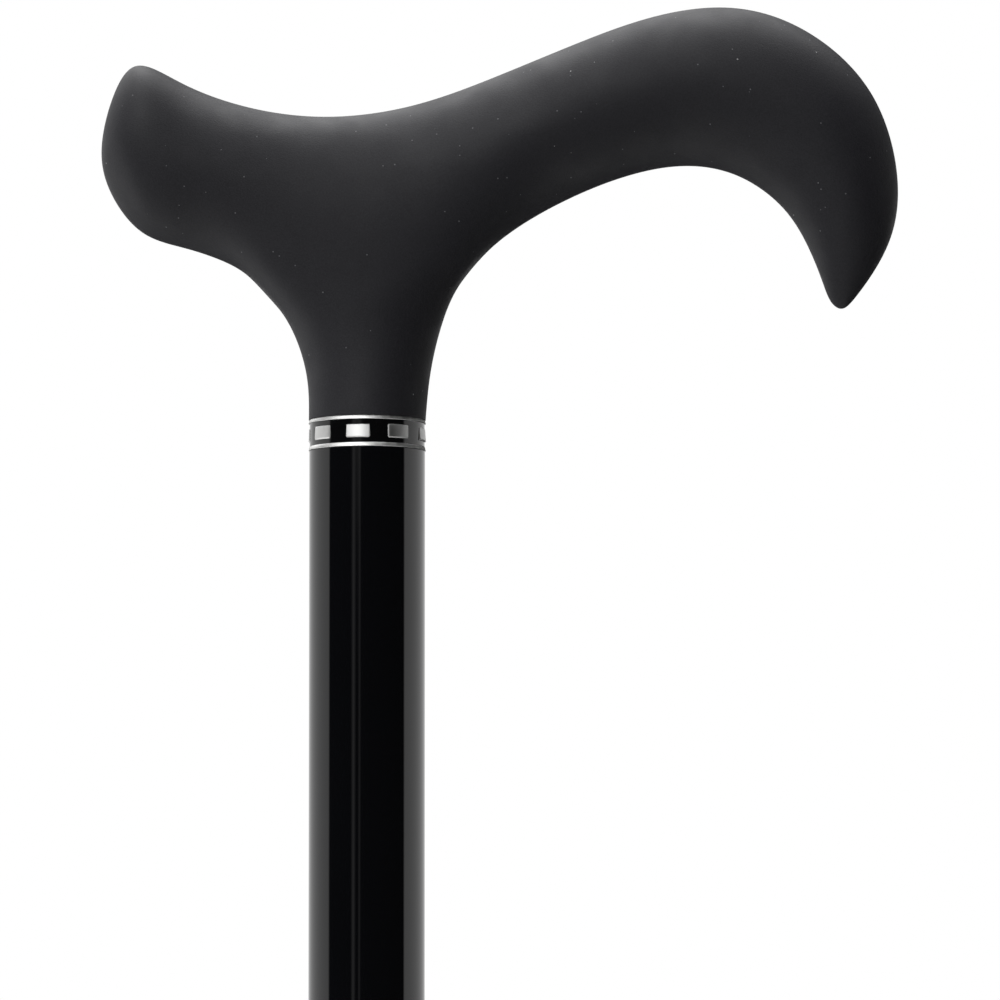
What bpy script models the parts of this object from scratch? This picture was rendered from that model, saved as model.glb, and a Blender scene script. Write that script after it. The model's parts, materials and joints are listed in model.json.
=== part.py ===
"""Quad walking cane: derby handle, telescoping two-tube shaft and a four-legged swivel base.

Metres, +Z up. The origin is on the floor, in the middle of the cane's footprint. The handle runs
along X with its hooked nose at +X. The shaft stands at SHAFT_Y, nearer to the user's side (-Y),
and the outer pair of legs reaches away from the user (+Y).
"""

import math

import bmesh
import bpy
from mathutils import Matrix, Vector

MM = 0.001
GAP = 0.3 * MM                      # clearance between pieces that touch
ROUND_STEPS = 24                    # facets round a turned piece
COLLAR_STEPS = 32                   # facets round the collar and the ring nut
SMALL_STEPS = 12                    # facets round a screw, pin or hole
TIP_STEPS = 16                      # facets round a rubber tip
PAST = 5 * MM                       # how far a cutting tool runs past the piece that it cuts

# --- Driving dimensions ---------------------------------------------------------------------
SHAFT_Y = -20 * MM

UPPER_TUBE_RADIUS = 11.0 * MM
UPPER_TUBE_WALL = 1.2 * MM
UPPER_TUBE_BORE = UPPER_TUBE_RADIUS - UPPER_TUBE_WALL
LOWER_TUBE_RADIUS = UPPER_TUBE_BORE - GAP
LOWER_TUBE_WALL = 1.5 * MM
LOWER_TUBE_BORE = LOWER_TUBE_RADIUS - LOWER_TUBE_WALL

SEAT_Z = 772.0 * MM                 # underside of the handle
COLLAR_HEIGHT = 5.5 * MM
COLLAR_Z = SEAT_Z - COLLAR_HEIGHT   # underside of the collar
PAD_COUNT = 8                       # bright pads round the collar
PAD_PITCH = math.radians(42)
FIRST_PAD = math.radians(-90 - 136)  # the seam between the last pad and the first is at the back
PAD_WIDTH = 4.7 * MM
PAD_HEIGHT = 2.7 * MM

HOLE_PITCH = 25 * MM                # height adjustment step
HOLES_EACH_WAY = 3                  # holes above and below the one in use
BUTTON_Z = 360 * MM
BUTTON_RADIUS = 3.7 * MM
BUTTON_PROUD = 2.0 * MM             # how far the button stands out of the upper tube
HOLE_RADIUS = BUTTON_RADIUS + GAP
TUBE_END_MARGIN = 34 * MM           # upper tube left below its lowest hole
UPPER_TUBE_BOTTOM = BUTTON_Z - HOLES_EACH_WAY * HOLE_PITCH - TUBE_END_MARGIN
LOWER_TUBE_TOP = BUTTON_Z + 70 * MM

HUB_BOTTOM = 84 * MM
HUB_TOP = 150 * MM
HUB_FLOOR = 92.5 * MM               # bottom of the shaft socket
SOCKET_RADIUS = 11.8 * MM
SOCKET_BOSS_RADIUS = 16 * MM
LOWER_TUBE_BOTTOM = HUB_FLOOR + 2.1 * MM
SLOT_BOTTOM = 119 * MM              # where the clamp slot ends
SLOT_HALF = 1.5 * MM                # half the width of the clamp slot
COUNTERBORE_TOP = HUB_BOTTOM + 3.5 * MM
PIVOT_WASHER_RADIUS = 7.5 * MM
PIVOT_HOLE_RADIUS = 3.4 * MM

LEG_RADIUS = 8 * MM
LEG_WALL = 1.5 * MM
ARCH_Z = 96 * MM                    # centre line of an arch where it crosses the hub
ARCH_OFFSET = 22 * MM               # from the shaft axis to an arch's centre line
ARCH_HALF_GRIP = 26 * MM            # half the length that the hub holds
ARCH_SHOULDER_Z = 86 * MM
ARCH_BEND = 30 * MM
ARCH_RUN_OUT = 15.5 * MM            # from the hub's end to the corner of the arch's first bend
FOOT_Y = 60 * MM
INNER_FOOT_X = 78 * MM
OUTER_FOOT_X = 86.5 * MM
ARCH_PLACES = {                     # the y of an arch in the hub, then its feet's x and y
    "inner_arch": (SHAFT_Y - ARCH_OFFSET, INNER_FOOT_X, -FOOT_Y),
    "outer_arch": (SHAFT_Y + ARCH_OFFSET, OUTER_FOOT_X, FOOT_Y),
}

TIP_RADIUS = 16 * MM
TIP_HEIGHT = 38 * MM
TIP_FLOOR = 8 * MM
WASHER_THICKNESS = 1.5 * MM
LEG_BOTTOM = TIP_FLOOR + WASHER_THICKNESS + 2 * GAP

CLAMP_X = -28 * MM                  # clamp screw, measured from the shaft axis
CLAMP_Z = 134 * MM
EAR_HALF = 9 * MM                   # half the thickness across both clamp ears
M6_RADIUS = 3.0 * MM
M5_RADIUS = 2.5 * MM
NUT_RADIUS = 5.6 * MM               # to the nut's corners
NUT_THICKNESS = 4.0 * MM

SKIN_THICKNESS = 2.0 * MM

# Handle sections from tail to nose, in mm from the shaft axis and the seat: the top point's
# x and z, the bottom point's x and z, and half the width. The neck grows out of the four
# sections from NECK_REAR to NECK_FRONT, so the two between them have no bottom point: their
# second point is the lower side of the grip.
GRIP_SECTIONS = [
    (-48.8, 60.7, -49.1, 44.1, 7.5),
    (-44.2, 67.7, -43.2, 36.2, 12.6),
    (-35.5, 64.5, -34.6, 32.9, 13.3),
    (-23.5, 60.0, -25.5, 29.5, 13.4),
    (-8.5, 58.0, -9.0, 21.9, 13.4),
    (8.0, 60.0, 8.5, 23.9, 13.5),
    (24.0, 65.5, 28.0, 36.5, 13.6),
    (40.0, 72.1, 43.0, 44.5, 14.0),
    (55.0, 77.3, 56.5, 48.4, 14.2),
    (70.2, 78.8, 66.5, 48.1, 14.2),
    (84.5, 73.8, 74.0, 44.9, 13.6),
    (96.1, 62.1, 80.0, 39.5, 12.2),
    (100.8, 46.4, 84.0, 32.7, 9.6),
    (99.0, 33.6, 86.4, 26.7, 6.0),
    (93.4, 24.3, 88.0, 22.8, 2.4),
]
TAIL_END = (-50.6, 52.1)
NOSE_END = (90.2, 21.3)
NECK_REAR = 3
NECK_FRONT = 6
LOWER_SIDE = 0.707                  # a section's diagonal points, as a share of its half sizes
NECK_SIDE = 0.92                    # the same across the neck, where the grip stays full
# Neck rings below the grip: front x and z, rear x and z, half the width and how far the sides
# hang below the line from front to rear.
NECK_RINGS = [
    (18.5, 27.5, -20.0, 25.1, 12.3, 5.0),
    (14.2, 18.4, -14.9, 18.4, 11.7, 2.5),
    (12.0, 8.9, -11.6, 8.9, 11.3, 0.0),
    (11.1, 0.0, -11.1, 0.0, 11.1, 0.0),
]
CORE_SECTIONS = slice(2, 12)        # the rigid core stops short of the rounded ends

# --- Scene helpers --------------------------------------------------------------------------
for old_object in list(bpy.data.objects):
    bpy.data.objects.remove(old_object, do_unlink=True)

cane = bpy.data.collections.new("quad_walking_cane")
cutters = bpy.data.collections.new("cutters")
bpy.context.scene.collection.children.link(cane)
bpy.context.scene.collection.children.link(cutters)


def look(name, colour, roughness, metallic=0.0):
    """A Principled material of one colour."""
    material = bpy.data.materials.new(name)
    material.use_nodes = True
    shader = material.node_tree.nodes["Principled BSDF"]
    shader.inputs["Base Color"].default_value = (*colour, 1.0)
    shader.inputs["Roughness"].default_value = roughness
    shader.inputs["Metallic"].default_value = metallic
    return material


def axis_empty(name, place, parent=None):
    """An empty that marks a joint's axis, and carries the pieces that move on it."""
    empty = bpy.data.objects.new(name, None)
    empty.empty_display_size = 0.02
    cane.objects.link(empty)
    bpy.context.view_layer.update()
    empty.parent = parent
    if parent:
        empty.location = Vector(place) - parent.matrix_world.translation
    else:
        empty.location = place
    bpy.context.view_layer.update()
    return empty


def keep(piece, finish, parent, place=(0, 0, 0), turn=(0, 0, 0)):
    """Put a piece in the cane: its finish, its place in the world and what carries it."""
    cane.objects.link(piece)
    piece.data.materials.append(finish)
    piece.parent = parent
    piece.location = Vector(place) - parent.matrix_world.translation
    piece.rotation_euler = turn
    return piece


def cutter(piece, place=(0, 0, 0), turn=(0, 0, 0)):
    """Set a shape aside as a tool for Booleans."""
    cutters.objects.link(piece)
    piece.location = place
    piece.rotation_euler = turn
    piece.hide_render = True
    piece.display_type = "WIRE"
    return piece


def combine(piece, tool, operation):
    """Cut a tool from a piece, or join it on."""
    boolean = piece.modifiers.new(tool.name, "BOOLEAN")
    boolean.operation = operation
    boolean.object = tool


def cut(piece, *tools):
    for tool in tools:
        combine(piece, tool, "DIFFERENCE")


def join(piece, *tools):
    for tool in tools:
        combine(piece, tool, "UNION")


# Turns that lay a shape's own +Z along a world axis.
ALONG_MINUS_Y = (math.radians(90), 0, 0)
ALONG_PLUS_Y = (math.radians(-90), 0, 0)
ALONG_X = (0, math.radians(90), 0)


# --- Shapes ---------------------------------------------------------------------------------
def turned(name, profile, steps=ROUND_STEPS):
    """Turn a profile of (radius, height) points about Z.

    The profile runs down its outer side. One that starts on the axis ends on it, and any other
    is closed into a ring.
    """
    points = [(radius, 0.0, height) for radius, height in profile]
    edges = [(index, index + 1) for index in range(len(points) - 1)]
    if profile[0][0] > 0:
        edges.append((len(points) - 1, 0))
    mesh = bpy.data.meshes.new(name)
    mesh.from_pydata(points, edges, [])
    piece = bpy.data.objects.new(name, mesh)
    screw = piece.modifiers.new("turn", "SCREW")
    screw.steps = steps
    screw.render_steps = steps
    screw.use_merge_vertices = True
    screw.merge_threshold = 0.00001
    screw.use_smooth_shade = True
    return piece


def from_bmesh(name, shape, smooth=True):
    """Make an object of a finished bmesh, and free it."""
    mesh = bpy.data.meshes.new(name)
    shape.to_mesh(mesh)
    shape.free()
    if smooth:
        mesh.shade_smooth()
        mesh.set_sharp_from_angle(angle=math.radians(35))
    return bpy.data.objects.new(name, mesh)


def rod(name, radius, low, high, steps=SMALL_STEPS):
    """A solid cylinder on its own Z axis, from low to high."""
    shape = bmesh.new()
    bmesh.ops.create_cone(
        shape, cap_ends=True, segments=steps, radius1=radius, radius2=radius, depth=high - low
    )
    bmesh.ops.translate(shape, verts=shape.verts, vec=(0, 0, (low + high) / 2))
    return from_bmesh(name, shape)


def block(name, low, high):
    """A box between two corners."""
    low = Vector(low)
    high = Vector(high)
    shape = bmesh.new()
    bmesh.ops.create_cube(shape, size=1.0)
    bmesh.ops.scale(shape, verts=shape.verts, vec=high - low)
    bmesh.ops.translate(shape, verts=shape.verts, vec=(low + high) / 2)
    return from_bmesh(name, shape, smooth=False)


def joined_shapes(name, shapes):
    """Several separate shapes as one tool, such as a row of holes."""
    together = bmesh.new()
    for shape, matrix in shapes:
        before = len(together.verts)
        together.from_mesh(shape.data)
        together.verts.ensure_lookup_table()
        bmesh.ops.transform(together, matrix=matrix, verts=together.verts[before:])
        bpy.data.objects.remove(shape)
    return from_bmesh(name, together)


def rounded_path(corners, bend, step=math.radians(16)):
    """Points along straight runs whose corners are rounded to one bend radius."""
    points = [corners[0]]
    for before, corner, after in zip(corners, corners[1:], corners[2:]):
        back = (before - corner).normalized()
        ahead = (after - corner).normalized()
        half_angle = back.angle(ahead) / 2
        centre = corner + (back + ahead).normalized() * bend / math.sin(half_angle)
        reach = bend / math.tan(half_angle)
        first = corner + back * reach - centre
        last = corner + ahead * reach - centre
        sweep = first.angle(last)
        count = max(2, round(sweep / step))
        for index in range(count + 1):
            turn = Matrix.Rotation(sweep * index / count, 3, first.cross(last))
            points.append(centre + turn @ first)
    points.append(corners[-1])
    return points


def bent_tube(name, points, radius, wall):
    """A hollow tube along a path, from a curve's open skin with thickness."""
    curve = bpy.data.curves.new(name + "_path", "CURVE")
    curve.dimensions = "3D"
    curve.bevel_depth = radius
    curve.bevel_resolution = 3
    spline = curve.splines.new("POLY")
    spline.points.add(len(points) - 1)
    for spline_point, point in zip(spline.points, points):
        spline_point.co = (*point, 1.0)
    guide = bpy.data.objects.new(name + "_path", curve)
    cutters.objects.link(guide)
    bpy.context.view_layer.update()
    evaluated = guide.evaluated_get(bpy.context.evaluated_depsgraph_get())
    mesh = bpy.data.meshes.new_from_object(evaluated)
    bpy.data.objects.remove(guide)
    mesh.shade_smooth()
    piece = bpy.data.objects.new(name, mesh)
    shell = piece.modifiers.new("wall", "SOLIDIFY")
    shell.thickness = wall
    shell.offset = -1
    return piece


def pull_through(cage, rounds=40):
    """Move a cage until its smooth surface passes through where its points started."""
    crease = cage.edges.layers.float.get("crease_edge")
    targets = [vert.co.copy() for vert in cage.verts]
    for _ in range(rounds):
        moves = []
        for vert, target in zip(cage.verts, targets):
            sharp = [edge.other_vert(vert).co for edge in vert.link_edges if edge[crease] > 0]
            if sharp:
                limit = (4 * vert.co + sharp[0] + sharp[1]) / 6
            else:
                count = len(vert.link_edges)
                near = sum((edge.other_vert(vert).co for edge in vert.link_edges), Vector())
                loops = [loop.link_loop_next.link_loop_next for loop in vert.link_loops]
                far = sum((loop.vert.co for loop in loops), Vector())
                limit = (count * count * vert.co + 4 * near + far) / (count * (count + 5))
            moves.append(target - limit)
        for vert, move in zip(cage.verts, moves):
            vert.co += move


def grip_form(name, sections, tail_end, nose_end, neck_rear, neck_bottom, inset=0.0, levels=1):
    """The handle's soft form: a cage through its sections and neck rings, subdivided."""
    cage = bmesh.new()
    neck_front = neck_rear + NECK_FRONT - NECK_REAR

    def point(x, y, z):
        return cage.verts.new(Vector((x, y, z)) * MM)

    rows = []
    for index, (top_x, top_z, bottom_x, bottom_z, half_width) in enumerate(sections):
        middle = Vector((top_x + bottom_x, 0, top_z + bottom_z)) / 2
        up = Vector((top_x - bottom_x, 0, top_z - bottom_z)) / 2
        up *= 1 - inset / up.length
        side = Vector((0, half_width - inset, 0))
        crosses_neck = neck_rear < index < neck_front
        low_side = NECK_SIDE if crosses_neck else LOWER_SIDE
        row = [
            point(*(middle + up)),
            point(*(middle + up * LOWER_SIDE + side * LOWER_SIDE)),
            point(*(middle + side)),
            point(*(middle - up * LOWER_SIDE + side * low_side)),
        ]
        if not crosses_neck:
            row.append(point(*(middle - up)))
        rows.append(row)
    for row, next_row in zip(rows, rows[1:]):
        for index in range(min(len(row), len(next_row)) - 1):
            cage.faces.new((row[index], row[index + 1], next_row[index + 1], next_row[index]))
    for row, (end_x, end_z) in ((rows[0], tail_end), (rows[-1], nose_end)):
        end = point(end_x, 0, end_z)
        cage.faces.new((end, row[0], row[1], row[2]))
        cage.faces.new((end, row[2], row[3], row[4]))

    neck_rows = rows[neck_rear:neck_front + 1]
    ring = [neck_rows[-1][4]] + [row[3] for row in reversed(neck_rows)] + [neck_rows[0][4]]
    for front_x, front_z, rear_x, rear_z, half_width, sag in NECK_RINGS:
        if front_z == 0:
            front_z = rear_z = neck_bottom
        next_ring = []
        for index in range(len(ring)):
            angle = math.pi * index / (len(ring) - 1)
            share = (1 + math.cos(angle)) / 2
            reach = (front_x - rear_x) / 2 - inset
            next_ring.append(point(
                (front_x + rear_x) / 2 + reach * math.cos(angle),
                (half_width - inset) * math.sin(angle),
                front_z * share + rear_z * (1 - share) - sag * math.sin(angle),
            ))
        for index in range(len(ring) - 1):
            cage.faces.new((ring[index], ring[index + 1], next_ring[index + 1], next_ring[index]))
        ring = next_ring

    bmesh.ops.mirror(cage, geom=cage.verts[:] + cage.edges[:] + cage.faces[:], axis="Y",
                     merge_dist=0.00001)
    crease = cage.edges.layers.float.new("crease_edge")
    rim = [edge for edge in cage.edges if edge.is_boundary]
    for edge in rim:
        edge[crease] = 1.0
    bmesh.ops.holes_fill(cage, edges=rim, sides=0)
    bmesh.ops.recalc_face_normals(cage, faces=cage.faces)
    pull_through(cage)
    piece = from_bmesh(name, cage)
    piece.data.shade_smooth()
    subdivision = piece.modifiers.new("smooth", "SUBSURF")
    subdivision.levels = levels
    subdivision.render_levels = levels
    return piece


# --- Finishes -------------------------------------------------------------------------------
soft_touch = look("soft_touch_black", (0.030, 0.030, 0.033), 0.62)
nylon = look("nylon_black", (0.020, 0.020, 0.022), 0.50)
gloss_black = look("gloss_black_tube", (0.004, 0.004, 0.006), 0.08)
satin_black = look("satin_black_tube", (0.012, 0.012, 0.013), 0.30)
powder_black = look("powder_coat_black", (0.015, 0.015, 0.016), 0.45)
bright_metal = look("bright_metal", (0.80, 0.80, 0.80), 0.15, 1.0)
black_enamel = look("black_enamel", (0.004, 0.004, 0.005), 0.10)
steel = look("zinc_steel", (0.55, 0.56, 0.58), 0.30, 1.0)
spring_steel = look("spring_steel", (0.42, 0.42, 0.44), 0.25, 1.0)
aluminium = look("aluminium", (0.70, 0.71, 0.72), 0.35, 1.0)
tip_rubber = look("tip_rubber", (0.022, 0.022, 0.023), 0.75)

# --- Joint axes -----------------------------------------------------------------------------
base_axis = axis_empty("base", (0, 0, 0))
swivel_axis = axis_empty("base_swivel_axis", (0, SHAFT_Y, HUB_FLOOR), base_axis)
height_axis = axis_empty("height_slide_axis", (0, SHAFT_Y, UPPER_TUBE_BOTTOM), swivel_axis)
ring_axis = axis_empty("lock_ring_axis", (0, SHAFT_Y, UPPER_TUBE_BOTTOM), height_axis)
button_axis = axis_empty("height_button_axis", (0, SHAFT_Y, BUTTON_Z), swivel_axis)
knob_axis = axis_empty("clamp_knob_axis", (CLAMP_X, SHAFT_Y, CLAMP_Z), base_axis)


def on_shaft(height=0.0):
    """A place on the shaft's axis."""
    return (0, SHAFT_Y, height)


# --- Handle ---------------------------------------------------------------------------------
def make_handle():
    """Soft cover over a rigid core, and the spigot and screw that hold the tube."""
    core_sections = GRIP_SECTIONS[CORE_SECTIONS]
    core_neck = NECK_REAR - CORE_SECTIONS.start
    cavity_inset = SKIN_THICKNESS / MM
    core_inset = (SKIN_THICKNESS + 3 * GAP) / MM
    cavity_bottom = -8.0
    core_bottom = 0.6
    end_bulge = 4.0

    def core_ends(inset):
        tail, nose = core_sections[0], core_sections[-1]
        tail_end = ((tail[0] + tail[2]) / 2 - end_bulge + inset, (tail[1] + tail[3]) / 2)
        nose_end = ((nose[0] + nose[2]) / 2 + end_bulge - inset, (nose[1] + nose[3]) / 2 - end_bulge)
        return tail_end, nose_end

    cavity = grip_form("grip_cavity", core_sections, *core_ends(cavity_inset), core_neck,
                       cavity_bottom, cavity_inset)
    skin = grip_form("grip_skin", GRIP_SECTIONS, TAIL_END, NOSE_END, NECK_REAR, 0.0)
    keep(skin, soft_touch, height_axis, on_shaft(SEAT_Z + GAP))
    cut(skin, cutter(cavity, on_shaft(SEAT_Z)))

    core = grip_form("handle_core", core_sections, *core_ends(core_inset), core_neck,
                     core_bottom, core_inset)
    keep(core, nylon, height_axis, on_shaft(SEAT_Z))
    spigot_top = 26 * MM
    spigot_neck = 6.0 * MM
    cut(core, cutter(rod("spigot_bore", spigot_neck + GAP, -PAST, spigot_top + GAP, ROUND_STEPS),
                     on_shaft(SEAT_Z)))

    spigot_radius = UPPER_TUBE_BORE - 0.4 * MM
    spigot_bottom = -34 * MM
    groove = 0.7 * MM
    profile = [(0, spigot_top), (spigot_neck - groove, spigot_top), (spigot_neck, spigot_top - groove)]
    for height in (18 * MM, 9 * MM):
        profile.append((spigot_neck, height + groove))
        profile.append((spigot_neck - groove, height))
        profile.append((spigot_neck, height - groove))
    profile.append((spigot_neck, 0))
    profile.append((spigot_radius, 0))
    profile.append((spigot_radius, spigot_bottom + groove))
    profile.append((spigot_radius - groove, spigot_bottom))
    profile.append((0, spigot_bottom))
    spigot = keep(turned("handle_spigot", profile), aluminium, height_axis, on_shaft(SEAT_Z))

    screw_radius = 1.8 * MM
    screw_depth = 5.0 * MM
    head_radius = 3.2 * MM
    head_height = 1.7 * MM
    screw_z = COLLAR_Z - 16 * MM
    screw_hole = cutter(rod("handle_screw_hole", screw_radius + GAP, screw_depth - GAP, 16 * MM),
                        on_shaft(screw_z), ALONG_PLUS_Y)
    cut(spigot, screw_hole)
    head_seat = UPPER_TUBE_RADIUS + GAP / 2
    profile = [
        (0, head_seat + head_height),
        (head_radius * 0.6, head_seat + head_height),
        (head_radius * 0.9, head_seat + head_height * 0.7),
        (head_radius, head_seat + head_height * 0.3),
        (head_radius, head_seat),
        (screw_radius, head_seat),
        (screw_radius, screw_depth),
        (0, screw_depth),
    ]
    keep(turned("handle_screw", profile, SMALL_STEPS), steel, height_axis,
         on_shaft(screw_z), ALONG_PLUS_Y)
    return screw_hole


# --- Collar ---------------------------------------------------------------------------------
def pad_windows(name, margin):
    """Blocks where the eight bright pads stand, grown by a margin on every side."""
    shapes = []
    for index in range(PAD_COUNT):
        low = (8 * MM, -PAD_WIDTH / 2 - margin, (COLLAR_HEIGHT - PAD_HEIGHT) / 2 - margin)
        high = (14 * MM, PAD_WIDTH / 2 + margin, (COLLAR_HEIGHT + PAD_HEIGHT) / 2 + margin)
        turn = Matrix.Rotation(FIRST_PAD + index * PAD_PITCH, 4, "Z")
        shapes.append((block("pad", low, high), turn))
    return cutter(joined_shapes(name, shapes), on_shaft(COLLAR_Z))


def make_collar():
    """Bright ring with two rims and eight pads, and the black enamel between them."""
    bore = UPPER_TUBE_BORE - 0.1 * MM
    rim_radius = UPPER_TUBE_RADIUS + 0.25 * MM
    enamel_radius = UPPER_TUBE_RADIUS + 0.1 * MM
    channel_floor = UPPER_TUBE_RADIUS - 0.7 * MM
    rim = 0.75 * MM
    top = COLLAR_HEIGHT - GAP

    ring_profile = [
        (rim_radius - 0.15 * MM, top),
        (rim_radius, top - 0.15 * MM),
        (rim_radius, GAP + 0.15 * MM),
        (rim_radius - 0.15 * MM, GAP),
        (bore, GAP),
        (bore, top),
    ]
    ring = keep(turned("collar_ring", ring_profile, COLLAR_STEPS), bright_metal, height_axis,
                on_shaft(COLLAR_Z))
    channel_profile = [
        (13 * MM, top - rim),
        (13 * MM, GAP + rim),
        (channel_floor, GAP + rim),
        (channel_floor, top - rim),
    ]
    channel = cutter(turned("enamel_channel", channel_profile, COLLAR_STEPS), on_shaft(COLLAR_Z))
    cut(channel, pad_windows("pad_stands", 0.0))
    cut(ring, channel)

    slack = 0.15 * MM
    enamel_profile = [
        (enamel_radius, top - rim - slack),
        (enamel_radius, GAP + rim + slack),
        (channel_floor + slack, GAP + rim + slack),
        (channel_floor + slack, top - rim - slack),
    ]
    enamel = keep(turned("collar_enamel", enamel_profile, COLLAR_STEPS), black_enamel, height_axis,
                  on_shaft(COLLAR_Z))
    cut(enamel, pad_windows("enamel_windows", slack))


# --- Upper tube and lock --------------------------------------------------------------------
def make_upper_tube(screw_hole):
    """Outer tube with its row of height holes on the user's side."""
    top = COLLAR_Z - GAP / 2
    profile = [
        (UPPER_TUBE_RADIUS, top),
        (UPPER_TUBE_RADIUS, UPPER_TUBE_BOTTOM),
        (UPPER_TUBE_BORE, UPPER_TUBE_BOTTOM),
        (UPPER_TUBE_BORE, top),
    ]
    tube = keep(turned("upper_tube", profile), gloss_black, height_axis, on_shaft())
    holes = []
    for step in range(-HOLES_EACH_WAY, HOLES_EACH_WAY + 1):
        lift = Matrix.Translation((0, step * HOLE_PITCH, 0))
        holes.append((rod("hole", HOLE_RADIUS, 5 * MM, 15 * MM), lift))
    cut(tube, cutter(joined_shapes("height_holes", holes), on_shaft(BUTTON_Z), ALONG_MINUS_Y))
    cut(tube, screw_hole)


def make_lock():
    """Split collet bush on the tube's end, and the ribbed ring nut round it."""
    sleeve_radius = 13.0 * MM
    sleeve_top = 21 * MM
    finger_bottom = -15 * MM
    taper_top = -8 * MM
    taper = 1.1 * MM
    finger_bore = LOWER_TUBE_RADIUS + 0.35 * MM
    bush_profile = [
        (sleeve_radius, sleeve_top),
        (sleeve_radius, taper_top),
        (sleeve_radius - taper, finger_bottom),
        (finger_bore, finger_bottom),
        (finger_bore, -GAP),
        (UPPER_TUBE_RADIUS + GAP, -GAP),
        (UPPER_TUBE_RADIUS + GAP, sleeve_top),
    ]
    bush = keep(turned("collet_bush", bush_profile), nylon, height_axis, on_shaft(UPPER_TUBE_BOTTOM))
    slit_half = 0.6 * MM
    slit_top = -4 * MM
    for name, degrees in (("collet_slit_1", 45), ("collet_slit_2", 135)):
        slit = block(name, (-sleeve_radius - PAST, -slit_half, finger_bottom - PAST),
                     (sleeve_radius + PAST, slit_half, slit_top))
        cut(bush, cutter(slit, on_shaft(UPPER_TUBE_BOTTOM), (0, 0, math.radians(degrees))))

    ring_radius = 15.5 * MM
    ring_top = 13 * MM
    ring_bottom = finger_bottom - 2 * MM
    lip_bore = LOWER_TUBE_RADIUS + 0.7 * MM
    edge = 0.8 * MM
    ring_profile = [
        (ring_radius - edge, ring_top),
        (ring_radius, ring_top - edge),
        (ring_radius, ring_bottom + edge),
        (ring_radius - edge, ring_bottom),
        (lip_bore, ring_bottom),
        (lip_bore, finger_bottom - GAP),
        (sleeve_radius - taper + GAP, finger_bottom - GAP),
        (sleeve_radius + GAP, taper_top),
        (sleeve_radius + GAP, ring_top),
    ]
    ring = keep(turned("lock_ring", ring_profile, COLLAR_STEPS), nylon, ring_axis,
                on_shaft(UPPER_TUBE_BOTTOM))
    groove_count = 12
    groove_radius = 1.6 * MM
    groove_end = 3 * MM
    grooves = []
    for index in range(groove_count):
        turn = Matrix.Rotation(math.tau * (index + 0.5) / groove_count, 4, "Z")
        move = Matrix.Translation((ring_radius + 0.6 * MM, 0, 0))
        groove = rod("groove", groove_radius, ring_bottom + groove_end, ring_top - groove_end)
        grooves.append((groove, turn @ move))
    cut(ring, cutter(joined_shapes("ring_grooves", grooves), on_shaft(UPPER_TUBE_BOTTOM)))


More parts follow.
